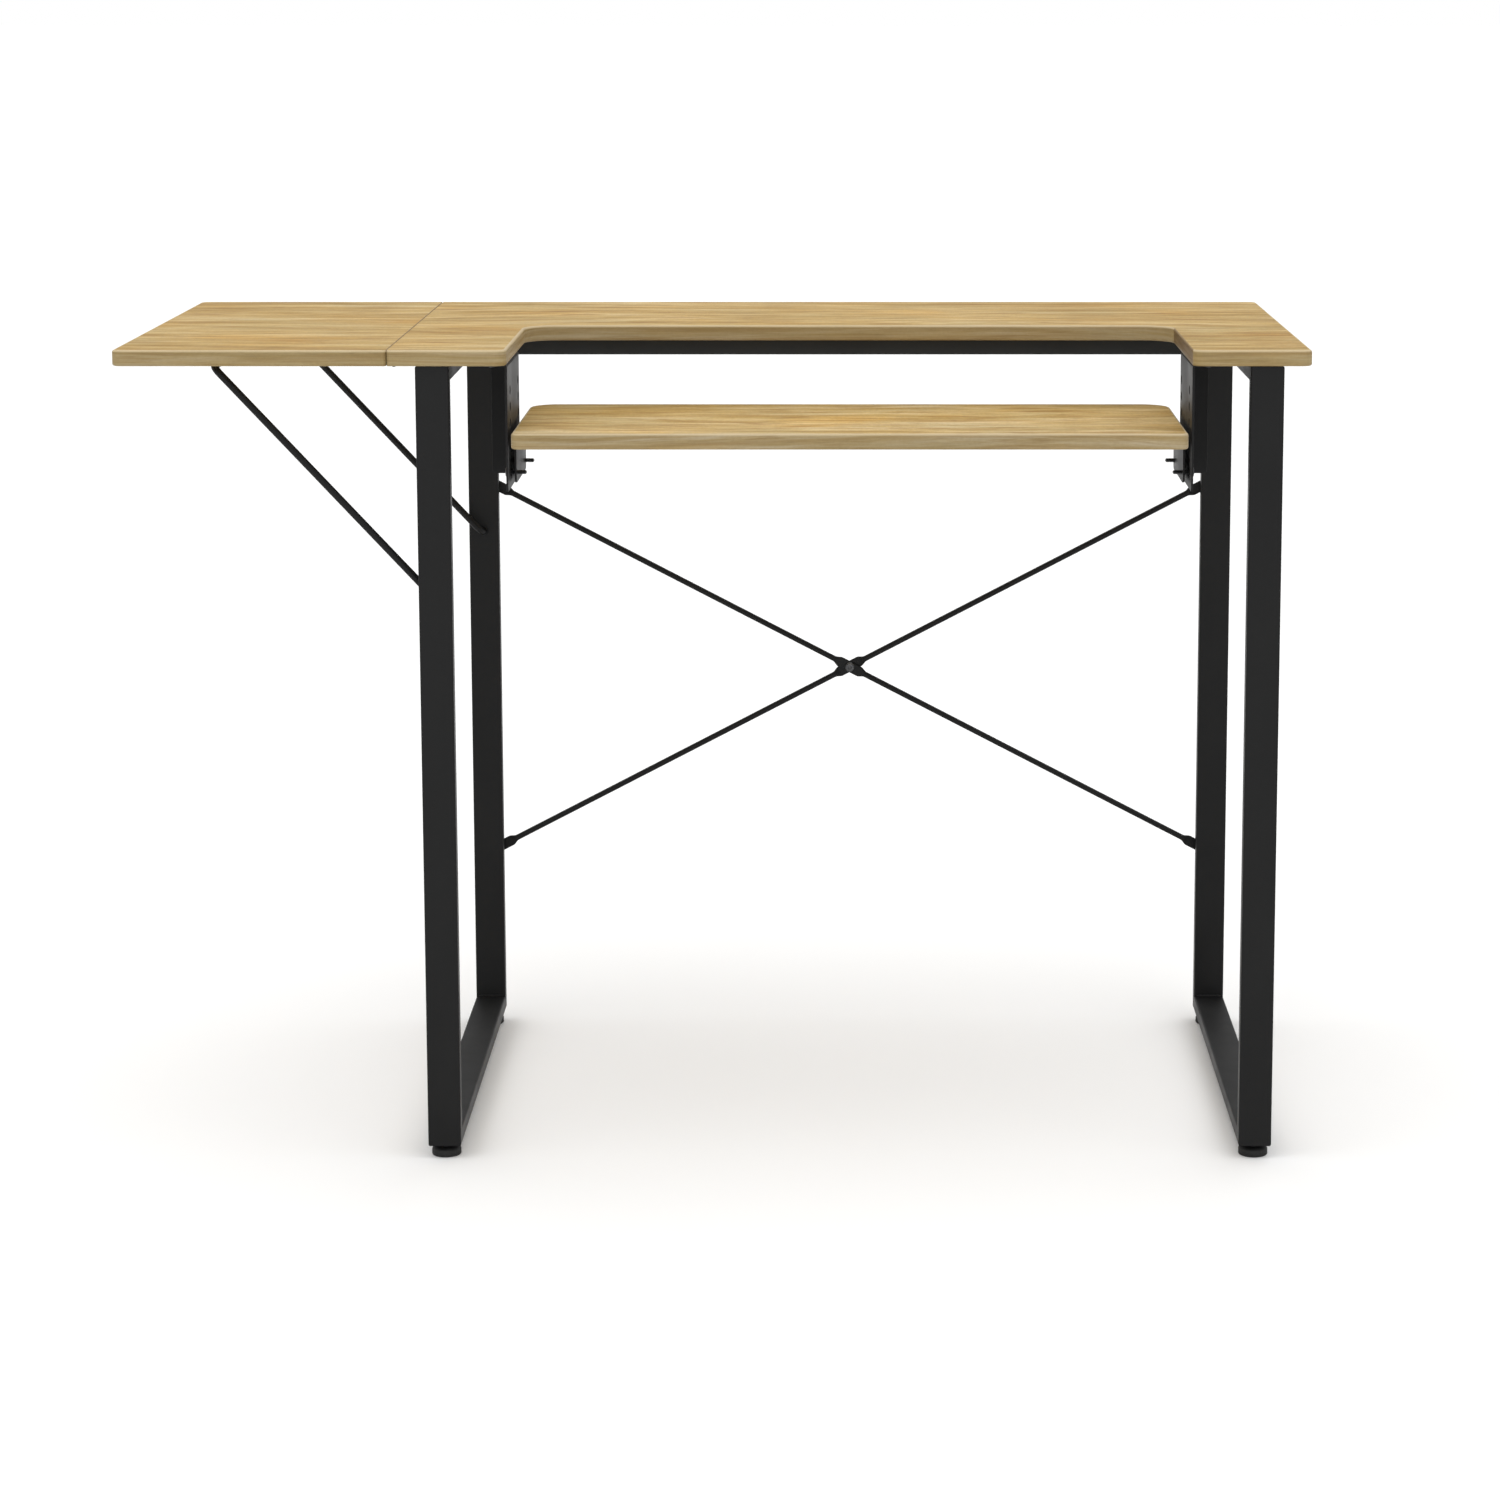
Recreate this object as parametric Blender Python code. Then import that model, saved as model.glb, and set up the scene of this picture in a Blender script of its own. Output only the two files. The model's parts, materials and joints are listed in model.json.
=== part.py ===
"""Straight sewing desk: wooden boards on two closed steel side frames.

The main board has a deep notch in its front edge. A machine platform hangs below
the notch on perforated brackets and can be bolted at six heights, the top one flush.
A side leaf folds down on two butt hinges, propped by a U-shaped rod.

Metres, +Z up. The origin is on the floor at the middle of the whole desk with its
leaf raised. -Y is the sitter's side, and the leaf is on -X.
"""

import math

import bmesh
import bpy
from mathutils import Vector

# Boards
DEPTH = 0.500
MAIN_WIDTH = 0.860
LEAF_WIDTH = 0.255
SEAM = 0.001
TOP_HEIGHT = 0.780
BOARD = 0.015
BOARD_EDGE = 0.0025
BOARD_CORNER = 0.009
SEAM_CORNER = 0.004
NOTCH_HALF_WIDTH = 0.3195
NOTCH_DEPTH = 0.240
NOTCH_CORNER = 0.030
NOTCH_LIP = 0.011
PLATFORM_HALF_WIDTH = 0.316
PLATFORM_DEPTH = 0.238
PLATFORM_REAR_CORNER = 0.028
PLATFORM_FRONT_CORNER = 0.008

# Side frames and crossbar, in one rectangular tube
TUBE_WIDE = 0.0315
TUBE_THIN = 0.015
TUBE_WALL = 0.0012
TUBE_CORNER = 0.0018
LEG_OFFSET = 0.3887
FRAME_FRONT_INSET = 0.004
FRAME_REAR_INSET = 0.007
MITRE_TRIM = 0.0002
CROSSBAR_SETBACK = 0.012

# Feet
FOOT_INSET = 0.018
FOOT_GAP = 0.0128
PAD_RADIUS = 0.01425
PAD_HEIGHT = 0.0084
PAD_SOCKET_FLOOR = 0.003
PAD_LIP = 0.001
STEM_RADIUS = 0.004
STEM_TOP = 0.0255
COLLAR_RADIUS = 0.0070
COLLAR_HEIGHT = 0.0028
INSERT_RADIUS = 0.0070
INSERT_HEIGHT = 0.006

# Rear cross-brace
CROSS_ROD_RADIUS = 0.003
CROSS_FLAT_HALF_WIDTH = 0.0056
CROSS_FLAT = 0.0025
CROSS_FLAT_POWER = 0.35
CROSS_TOP = 0.5916
CROSS_BOTTOM = 0.185
CROSS_TIP = 0.009
CROSS_TIP_WIDTH = 0.25
CROSS_END_FLAT = 0.026
CROSS_MIDDLE_FLAT = 0.011
CROSS_BLEND = 0.008
CROSS_SCREW_REACH = 0.008
CROSS_HEAD = 0.0024
CROSS_NUT_RADIUS = 0.0046
CROSS_NUT = 0.0022

# Leaf, its hinges and its brace
HINGE_DROP = 0.0040
HINGE_PIN_RADIUS = 0.0014
HINGE_SHEET = 0.0013
HINGE_REACH = 0.0240
HINGE_LENGTH = 0.060
HINGE_INSET = 0.060
HINGE_KNUCKLE = 0.018
HINGE_CURL = (math.radians(110), math.radians(300))
HINGE_CURL_STEPS = 14
HINGE_CURL_OFFSET = 0.0008
BRACE_RADIUS = 0.0035
BRACE_PIVOT_HEIGHT = 0.5375
BRACE_REACH = 0.2075
BRACE_ARM_GAP = 0.013
BRACE_BEND = 0.009
BRACE_ENTRY = 0.0065

# Height-adjusting brackets
PLATE = 0.002
PLATE_BEND = 0.0025
FIXED_INNER = 0.3200
FIXED_FRONT = 0.019
FIXED_REAR = 0.149
FIXED_BOTTOM = 0.645
FLANGE = 0.025
HOLE_ROWS = 6
HOLE_RADIUS = 0.0044
HOLE_COLUMNS = (0.049, 0.134)
SCREW_HEIGHT = 0.6595
SLIDE_TRAVEL = 0.078
CARRIER_OUTER = 0.316
CARRIER_FRONT = 0.040
CARRIER_REAR = 0.145
CARRIER_BOTTOM = 0.650
CARRIER_CORNER = 0.006
SCREW_RADIUS = 0.00225
SCREW_TIP = 0.009
SCREW_HEAD_RADIUS = 0.005
SCREW_HEAD = 0.003
SCREW_POINT = 0.001

# Gap between pieces that touch, and the overlap that a cutter or a joined piece needs
FIT = 0.0003
OVERCUT = 0.001
CORNER_STEPS = 5
ROUND_SIDES = 20
HOLE_SIDES = 14
ROD_SIDES = 12

# Derived places
MAIN_X = (LEAF_WIDTH + SEAM) / 2
FRONT = -DEPTH / 2
UNDERSIDE = TOP_HEIGHT - BOARD
PLATFORM_TOP = TOP_HEIGHT - SLIDE_TRAVEL
FRAME_FRONT = FRONT + FRAME_FRONT_INSET
FRAME_REAR = DEPTH / 2 - FRAME_REAR_INSET
FRAME_TOP = UNDERSIDE - FIT
LEFT_EDGE = MAIN_X - MAIN_WIDTH / 2
HINGE_X = LEFT_EDGE - SEAM / 2
HINGE_Z = UNDERSIDE - HINGE_DROP
LEFT_LEG_X = MAIN_X - LEG_OFFSET
CROSS_Y = FRAME_REAR + FIT + CROSS_FLAT / 2
FOOT_YS = {"front": FRAME_FRONT + FOOT_INSET, "rear": FRAME_REAR - FOOT_INSET}
SIDES = {"left": -1, "right": 1}


def material(name, colour, roughness, metallic):
    """A plain Principled finish."""
    made = bpy.data.materials.new(name)
    made.use_nodes = True
    shader = made.node_tree.nodes["Principled BSDF"]
    shader.inputs["Base Color"].default_value = (*colour, 1.0)
    shader.inputs["Roughness"].default_value = roughness
    shader.inputs["Metallic"].default_value = metallic
    made.diffuse_color = (*colour, 1.0)
    return made


def lofted(rings, closed=False):
    """Vertices and faces of a skin over equal rings, capped at its ends or closed into a loop."""
    count = len(rings[0])
    vertices = [Vector(point) for ring in rings for point in ring]
    steps = list(zip(range(len(rings)), range(1, len(rings))))
    if closed:
        steps.append((len(rings) - 1, 0))
    faces = []
    for low, high in steps:
        for index in range(count):
            after = (index + 1) % count
            corners = ((low, index), (low, after), (high, after), (high, index))
            faces.append(tuple(ring * count + spot for ring, spot in corners))
    if not closed:
        faces.append(tuple(range(count)))
        faces.append(tuple(range(len(vertices) - count, len(vertices))))
    return vertices, faces


def fillet(before, here, after, radius):
    """The points of an arc that rounds the corner at here, or just the corner where the radius is zero."""
    if radius == 0:
        return [here]
    back = (before - here).normalized()
    ahead = (after - here).normalized()
    half = back.angle(ahead) / 2
    centre = here + (back + ahead).normalized() * radius / math.sin(half)
    reach = radius / math.tan(half)
    first = (here + back * reach - centre).normalized()
    last = (here + ahead * reach - centre).normalized()
    return [centre + first.slerp(last, step / CORNER_STEPS) * radius for step in range(CORNER_STEPS + 1)]


def rounded_outline(corners):
    """A closed outline through (a, b, radius) corners."""
    spots = [Vector((a, b)) for a, b, _ in corners]
    outline = []
    for index, (_, _, radius) in enumerate(corners):
        outline += fillet(spots[index - 1], spots[index], spots[(index + 1) % len(spots)], radius)
    return outline


def prism(outline, axis, low, high):
    """An outline in the plane across axis ("X", "Y" or "Z"), extruded along it from low to high."""
    place = {
        "X": lambda a, b, level: (level, a, b),
        "Y": lambda a, b, level: (a, level, b),
        "Z": lambda a, b, level: (a, b, level),
    }[axis]
    return lofted([[place(a, b, level) for a, b in outline] for level in (low, high)])


def box(low, high):
    """A plain block between two opposite corners."""
    outline = [(low[0], low[1]), (high[0], low[1]), (high[0], high[1]), (low[0], high[1])]
    return prism(outline, "Z", low[2], high[2])


def circle(centre, across, along, sides=ROUND_SIDES):
    """A ring of points with the two given half-axes."""
    angles = [2 * math.pi * step / sides for step in range(sides)]
    return [centre + across * math.cos(angle) + along * math.sin(angle) for angle in angles]


def turned(start, axis, profile, ring=False, sides=ROUND_SIDES):
    """A solid turned about a line, from (radius, distance along the line) points."""
    axis = Vector(axis).normalized()
    across = axis.orthogonal().normalized()
    along = axis.cross(across)
    rings = []
    for radius, distance in profile:
        rings.append(circle(Vector(start) + axis * distance, across * radius, along * radius, sides))
    return lofted(rings, closed=ring)


def round_bar(start, axis, radius, length, sides=ROUND_SIDES):
    """A plain cylinder, as used for pins and cutters."""
    return turned(start, axis, [(radius, 0), (radius, length)], sides=sides)


def domed_head(base, height):
    """Profile points of a screw head, from its seat outward."""
    return [
        (SCREW_HEAD_RADIUS, base),
        (SCREW_HEAD_RADIUS * 0.94, base + height * 0.5),
        (SCREW_HEAD_RADIUS * 0.6, base + height),
    ]


def merged(shapes):
    """Several separate shapes as one list of vertices and faces."""
    vertices = []
    faces = []
    for more_vertices, more_faces in shapes:
        shift = len(vertices)
        vertices += more_vertices
        faces += [tuple(index + shift for index in face) for face in more_faces]
    return vertices, faces


def mesh_object(name, shape, body):
    """An object whose parent is the body's empty, so that its origin lies on that body's joint axis."""
    vertices, faces = shape
    origin = body.location
    mesh = bpy.data.meshes.new(name)
    mesh.from_pydata([point - origin for point in vertices], [], faces)
    sculpt = bmesh.new()
    sculpt.from_mesh(mesh)
    bmesh.ops.recalc_face_normals(sculpt, faces=sculpt.faces)
    if sculpt.calc_volume(signed=True) < 0:
        bmesh.ops.reverse_faces(sculpt, faces=sculpt.faces)
    sculpt.to_mesh(mesh)
    sculpt.free()
    made = bpy.data.objects.new(name, mesh)
    made.parent = body
    bpy.context.scene.collection.objects.link(made)
    return made


def add_part(name, shape, finish, body):
    """A visible sub-part, shaded smooth except at its hard edges."""
    made = mesh_object(name, shape, body)
    made.data.materials.append(finish)
    made.data.shade_smooth()
    made.data.set_sharp_from_angle(angle=math.radians(35))
    return made


def combine(target, shape, operation):
    """Cuts a hidden shape out of the target, or joins it on."""
    tool = mesh_object(target.name + "_" + operation.lower(), shape, target.parent)
    tool.hide_render = True
    tool.display_type = "WIRE"
    boolean = target.modifiers.new(operation.title(), "BOOLEAN")
    boolean.operation = operation
    boolean.solver = "EXACT"
    boolean.object = tool


def cut(target, shapes):
    combine(target, merged(shapes), "DIFFERENCE")


def join(target, shape):
    combine(target, shape, "UNION")


def body_empty(name, location=(0, 0, 0)):
    """An empty on a body's joint axis, which that body's sub-parts are parented to."""
    made = bpy.data.objects.new(name, None)
    made.location = location
    made.empty_display_size = 0.05
    bpy.context.scene.collection.objects.link(made)
    return made


def add_board(name, corners, top, finish, body):
    """A board with rounded corners in plan and softened long edges."""
    board = add_part(name, prism(rounded_outline(corners), "Z", top - BOARD, top), finish, body)
    edge = board.modifiers.new("Softened edge", "BEVEL")
    edge.width = BOARD_EDGE
    edge.segments = 2
    edge.limit_method = "ANGLE"
    edge.angle_limit = math.radians(50)


def add_boards(wood, root, leaf, platform):
    right = MAIN_X + MAIN_WIDTH / 2
    rear = DEPTH / 2
    notch_left = MAIN_X - NOTCH_HALF_WIDTH
    notch_right = MAIN_X + NOTCH_HALF_WIDTH
    notch_rear = FRONT + NOTCH_DEPTH
    main = [
        (LEFT_EDGE, FRONT, SEAM_CORNER),
        (notch_left, FRONT, NOTCH_LIP),
        (notch_left, notch_rear, NOTCH_CORNER),
        (notch_right, notch_rear, NOTCH_CORNER),
        (notch_right, FRONT, NOTCH_LIP),
        (right, FRONT, BOARD_CORNER),
        (right, rear, BOARD_CORNER),
        (LEFT_EDGE, rear, SEAM_CORNER),
    ]
    add_board("main_top", main, TOP_HEIGHT, wood, root)

    leaf_right = LEFT_EDGE - SEAM
    leaf_left = leaf_right - LEAF_WIDTH
    side = [
        (leaf_left, FRONT, BOARD_CORNER),
        (leaf_right, FRONT, SEAM_CORNER),
        (leaf_right, rear, SEAM_CORNER),
        (leaf_left, rear, BOARD_CORNER),
    ]
    add_board("side_leaf", side, TOP_HEIGHT, wood, leaf)

    shelf_left = MAIN_X - PLATFORM_HALF_WIDTH
    shelf_right = MAIN_X + PLATFORM_HALF_WIDTH
    shelf_rear = FRONT + PLATFORM_DEPTH
    shelf = [
        (shelf_left, FRONT, PLATFORM_FRONT_CORNER),
        (shelf_right, FRONT, PLATFORM_FRONT_CORNER),
        (shelf_right, shelf_rear, PLATFORM_REAR_CORNER),
        (shelf_left, shelf_rear, PLATFORM_REAR_CORNER),
    ]
    add_board("machine_platform", shelf, PLATFORM_TOP, wood, platform)


def tube(start, end, wide, thin, mitre):
    """An open-ended rectangular tube. A mitre of 1 cuts its ends at 45 degrees, longest towards thin."""
    along = (end - start).normalized()
    trim = MITRE_TRIM if mitre else FIT
    rings = []
    for wall, reach in ((0, 0), (0, 1), (TUBE_WALL, 1), (TUBE_WALL, 0)):
        half_wide = TUBE_WIDE / 2 - wall
        half_thin = TUBE_THIN / 2 - wall
        corner = TUBE_CORNER - wall
        corners = [
            (-half_wide, -half_thin, corner),
            (half_wide, -half_thin, corner),
            (half_wide, half_thin, corner),
            (-half_wide, half_thin, corner),
        ]
        ring = []
        for a, b in rounded_outline(corners):
            slope = along * (mitre * b - trim)
            base = end + slope if reach else start - slope
            ring.append(base + wide * a + thin * b)
        rings.append(ring)
    return lofted(rings, closed=True)


def add_side_frame(side, steel, root):
    """Four mitred tubes in a closed upright loop, returned by name because the legs are drilled later."""
    x = MAIN_X + SIDES[side] * LEG_OFFSET
    half = TUBE_THIN / 2
    front = FRAME_FRONT + half
    rear = FRAME_REAR - half
    top = FRAME_TOP - half
    bottom = FOOT_GAP + half
    wide = Vector((1, 0, 0))
    runs = {
        "front_leg": ((front, bottom), (front, top), (-1, 0)),
        "rear_leg": ((rear, bottom), (rear, top), (1, 0)),
        "top_rail": ((front, top), (rear, top), (0, 1)),
        "bottom_rail": ((front, bottom), (rear, bottom), (0, -1)),
    }
    made = {}
    for part, (start, end, outward) in runs.items():
        shape = tube(Vector((x, *start)), Vector((x, *end)), wide, Vector((0, *outward)), mitre=1)
        made[part] = add_part(f"{side}_{part}", shape, steel, root)

    drops = [round_bar((x, y, 0), (0, 0, 1), STEM_RADIUS + FIT, bottom) for y in FOOT_YS.values()]
    cut(made["bottom_rail"], drops)
    return made


def add_crossbar(steel, root):
    """The flat beam between the top rails, just behind the notch."""
    reach = LEG_OFFSET - TUBE_WIDE / 2
    y = FRONT + NOTCH_DEPTH + CROSSBAR_SETBACK + TUBE_WIDE / 2
    z = FRAME_TOP - TUBE_THIN / 2
    start = Vector((MAIN_X - reach, y, z))
    end = Vector((MAIN_X + reach, y, z))
    shape = tube(start, end, Vector((0, 1, 0)), Vector((0, 0, 1)), mitre=0)
    add_part("crossbar", shape, steel, root)


def add_foot(name, x, y, rubber, zinc, root, body):
    """A levelling foot: a moulded pad on a threaded stem, and the nut that stays inside the rail."""
    lip = PAD_LIP
    socket = STEM_RADIUS + FIT
    pad = [
        (PAD_RADIUS - lip, 0),
        (PAD_RADIUS, lip),
        (PAD_RADIUS, PAD_HEIGHT - 2 * lip),
        (PAD_RADIUS - 2 * lip, PAD_HEIGHT),
        (socket, PAD_HEIGHT),
        (socket, PAD_SOCKET_FLOOR),
    ]
    add_part(f"{name}_pad", turned((x, y, 0), (0, 0, 1), pad), rubber, body)

    collar_low = PAD_HEIGHT + FIT
    collar_high = collar_low + COLLAR_HEIGHT
    stem = [
        (STEM_RADIUS, PAD_SOCKET_FLOOR + FIT),
        (STEM_RADIUS, collar_low),
        (COLLAR_RADIUS, collar_low),
        (COLLAR_RADIUS, collar_high),
        (STEM_RADIUS, collar_high),
        (STEM_RADIUS, STEM_TOP - lip),
        (STEM_RADIUS - lip, STEM_TOP),
    ]
    add_part(f"{name}_stem", turned((x, y, 0), (0, 0, 1), stem), zinc, body)

    nut_low = FOOT_GAP + TUBE_WALL + FIT
    nut = [
        (socket, nut_low),
        (INSERT_RADIUS, nut_low),
        (INSERT_RADIUS, nut_low + INSERT_HEIGHT),
        (socket, nut_low + INSERT_HEIGHT),
    ]
    add_part(f"{name}_insert", turned((x, y, 0), (0, 0, 1), nut, ring=True), zinc, root)


def cross_rod_shape(low, high, y_shift):
    """A round rod, pressed flat and round-nosed at both ends and pressed flat again in the middle."""
    along = (high - low).normalized()
    across = along.cross(Vector((0, 1, 0))).normalized()
    length = (high - low).length
    middle = length / 2
    flat = (CROSS_FLAT_HALF_WIDTH, CROSS_FLAT / 2, CROSS_FLAT_POWER)
    round_section = (CROSS_ROD_RADIUS, CROSS_ROD_RADIUS, 1.0)

    stations = []
    for step in range(CORNER_STEPS):
        turn = math.pi / 2 * step / CORNER_STEPS
        width = CROSS_FLAT_HALF_WIDTH * (CROSS_TIP_WIDTH + (1 - CROSS_TIP_WIDTH) * math.sin(turn))
        stations.append((-CROSS_TIP * math.cos(turn), (width, *flat[1:]), 0))
    stations += [
        (CROSS_END_FLAT, flat, 0),
        (CROSS_END_FLAT + CROSS_BLEND, round_section, 0),
        (middle - CROSS_MIDDLE_FLAT - CROSS_BLEND, round_section, 0),
        (middle - CROSS_MIDDLE_FLAT, flat, y_shift),
    ]
    stations += [(length - place, section, shift) for place, section, shift in reversed(stations)]

    rings = []
    for place, (half_width, half_thickness, power), shift in stations:
        centre = low + along * place + Vector((0, shift, 0))
        ring = []
        for index in range(ROD_SIDES):
            angle = 2 * math.pi * (index + 0.5) / ROD_SIDES
            u = math.copysign(abs(math.cos(angle)) ** power, math.cos(angle))
            v = math.copysign(abs(math.sin(angle)) ** power, math.sin(angle))
            ring.append(centre + across * half_width * u + Vector((0, half_thickness * v, 0)))
        rings.append(ring)
    return lofted(rings)


def add_cross_brace(steel, zinc, root, frames):
    """Two crossed rods screwed to the backs of the rear legs and bolted together where they cross."""
    shift = (CROSS_FLAT + FIT) / 2
    hole = SCREW_RADIUS + FIT
    middle = Vector((MAIN_X, CROSS_Y, (CROSS_TOP + CROSS_BOTTOM) / 2))
    leg_holes = {"left": [], "right": []}
    for name, falls_to, rod_shift in (("front", "right", -shift), ("rear", "left", shift)):
        ends = []
        for side in SIDES:
            x = MAIN_X + SIDES[side] * LEG_OFFSET
            z = CROSS_BOTTOM if side == falls_to else CROSS_TOP
            ends.append(Vector((x, CROSS_Y, z)))
            leg_holes[side].append((x, z))
        rod = add_part(f"cross_rod_{name}", cross_rod_shape(*ends, rod_shift), steel, root)
        reach = Vector((0, CROSS_ROD_RADIUS + OVERCUT, 0))
        cut(rod, [round_bar(spot - reach, (0, 1, 0), hole, 2 * reach.y) for spot in (*ends, middle)])

    wall = FRAME_REAR - TUBE_WALL
    for side, spots in leg_holes.items():
        wall_cuts = [
            round_bar((x, wall - OVERCUT, z), (0, 1, 0), hole, TUBE_WALL + 2 * OVERCUT) for x, z in spots
        ]
        if side == "left":
            front_face = FRAME_REAR - TUBE_THIN - OVERCUT
            pivot = (LEFT_LEG_X, front_face, BRACE_PIVOT_HEIGHT)
            wall_cuts.append(round_bar(pivot, (0, 1, 0), BRACE_RADIUS + FIT, TUBE_WALL + 2 * OVERCUT))
        cut(frames[side]["rear_leg"], wall_cuts)
        for x, z in spots:
            level = "top" if z == CROSS_TOP else "bottom"
            add_cross_screw(f"{side}_{level}_cross_screw", x, z, zinc, root)

    add_cross_bolt(middle, shift, zinc, root)


def add_cross_screw(name, x, z, zinc, root):
    """A button-head screw from behind, through the flattened rod end and the leg's rear wall."""
    shank = CROSS_SCREW_REACH + CROSS_FLAT + 2 * FIT
    profile = [(SCREW_RADIUS * 0.6, 0), (SCREW_RADIUS, SCREW_POINT), (SCREW_RADIUS, shank)]
    profile += domed_head(shank, CROSS_HEAD)
    add_part(name, turned((x, FRAME_REAR - CROSS_SCREW_REACH, z), (0, 1, 0), profile), zinc, root)


def add_cross_bolt(middle, shift, zinc, root):
    """The bolt and nut that hold the two rods together where they cross."""
    half_stack = shift + CROSS_FLAT / 2 + FIT
    shank = 2 * half_stack + CROSS_NUT
    bolt = [(SCREW_RADIUS, 0), (SCREW_RADIUS, shank)] + domed_head(shank, CROSS_HEAD)
    start = middle + Vector((0, half_stack + CROSS_NUT, 0))
    add_part("cross_bolt", turned(start, (0, -1, 0), bolt), zinc, root)

    nut_start = middle + Vector((0, half_stack, 0))
    hexagon = round_bar(nut_start, (0, 1, 0), CROSS_NUT_RADIUS, CROSS_NUT, sides=6)
    nut = add_part("cross_nut", hexagon, zinc, root)
    through = middle + Vector((0, half_stack - OVERCUT, 0))
    cut(nut, [round_bar(through, (0, 1, 0), SCREW_RADIUS + FIT, CROSS_NUT + 2 * OVERCUT)])


def hinge_outline(direction):
    """Side view of one hinge plate: a flat strip whose end curls round the pin, relative to the pin."""
    inner = HINGE_PIN_RADIUS + FIT
    outer = inner + HINGE_SHEET
    plate_top = HINGE_DROP - FIT
    plate_low = plate_top - HINGE_SHEET
    first, last = HINGE_CURL
    turns = [first + (last - first) * step / HINGE_CURL_STEPS for step in range(HINGE_CURL_STEPS + 1)]
    points = [(HINGE_REACH, plate_top), (HINGE_CURL_OFFSET, plate_top)]
    points += [(math.cos(turn) * outer, math.sin(turn) * outer) for turn in turns]
    points += [(math.cos(turn) * inner, math.sin(turn) * inner) for turn in reversed(turns)]
    points += [(math.sqrt(outer**2 - plate_low**2), plate_low), (HINGE_REACH, plate_low)]
    return [(direction * a, b) for a, b in points]


def add_hinge(name, y, steel, zinc, root, leaf):
    """A butt hinge under the seam: a two-knuckle plate, a one-knuckle plate and the pin."""
    low = y - HINGE_LENGTH / 2
    high = y + HINGE_LENGTH / 2
    knuckle_ends = (low + HINGE_KNUCKLE, high - HINGE_KNUCKLE)
    barrel = HINGE_PIN_RADIUS + HINGE_SHEET + 3 * FIT
    plates = (
        ("fixed_plate", 1, root, [(knuckle_ends[0] - FIT, knuckle_ends[1] + FIT)]),
        ("leaf_plate", -1, leaf, [(low - OVERCUT, knuckle_ends[0]), (knuckle_ends[1], high + OVERCUT)]),
    )
    for part, direction, body, gaps in plates:
        outline = [(HINGE_X + a, HINGE_Z + b) for a, b in hinge_outline(direction)]
        plate = add_part(f"{name}_{part}", prism(outline, "Y", low, high), steel, body)
        cutters = []
        for gap_low, gap_high in gaps:
            cutters.append(
                box(
                    (HINGE_X - barrel, gap_low, HINGE_Z - 2 * barrel),
                    (HINGE_X + barrel, gap_high, HINGE_Z + 2 * barrel),
                )
            )
        cut(plate, cutters)
    pin = round_bar((HINGE_X, low, HINGE_Z), (0, 1, 0), HINGE_PIN_RADIUS, HINGE_LENGTH)
    add_part(f"{name}_pin", pin, zinc, root)


def add_leaf_brace(steel, brace, frames):
    """One bent rod: two arms, a bar under the leaf, and ends that turn outward into the left legs."""
    bar_height = UNDERSIDE - FIT - BRACE_RADIUS
    rise = bar_height - BRACE_PIVOT_HEIGHT
    arm = Vector((-BRACE_REACH, 0, rise))
    pivot = Vector((LEFT_LEG_X, 0, BRACE_PIVOT_HEIGHT))
    leg_faces = (FRAME_FRONT + TUBE_THIN, FRAME_REAR - TUBE_THIN)
    arm_ys = (leg_faces[0] + BRACE_ARM_GAP, leg_faces[1] - BRACE_ARM_GAP)
    tips = (leg_faces[0] - BRACE_ENTRY, leg_faces[1] + BRACE_ENTRY)
    across = Vector((0, 1, 0))
    corners = [
        pivot + across * tips[0],
        pivot + across * arm_ys[0],
        pivot + arm + across * arm_ys[0],
        pivot + arm + across * arm_ys[1],
        pivot + across * arm_ys[1],
        pivot + across * tips[1],
    ]
    route = [corners[0]]
    for before, here, after in zip(corners, corners[1:], corners[2:]):
        route += fillet(before, here, after, BRACE_BEND)
    route.append(corners[-1])

    flat_normal = arm.cross(across).normalized()
    rings = []
    for index, spot in enumerate(route):
        ahead = route[min(index + 1, len(route) - 1)] - route[max(index - 1, 0)]
        sideways = ahead.cross(flat_normal).normalized()
        rings.append(circle(spot, sideways * BRACE_RADIUS, flat_normal * BRACE_RADIUS, ROD_SIDES))
    add_part("leaf_brace", lofted(rings), steel, brace)

    socket = round_bar(
        (LEFT_LEG_X, leg_faces[0] - TUBE_WALL - OVERCUT, BRACE_PIVOT_HEIGHT),
        (0, 1, 0),
        BRACE_RADIUS + FIT,
        TUBE_WALL + 2 * OVERCUT,
    )
    cut(frames["left"]["front_leg"], [socket])


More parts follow.
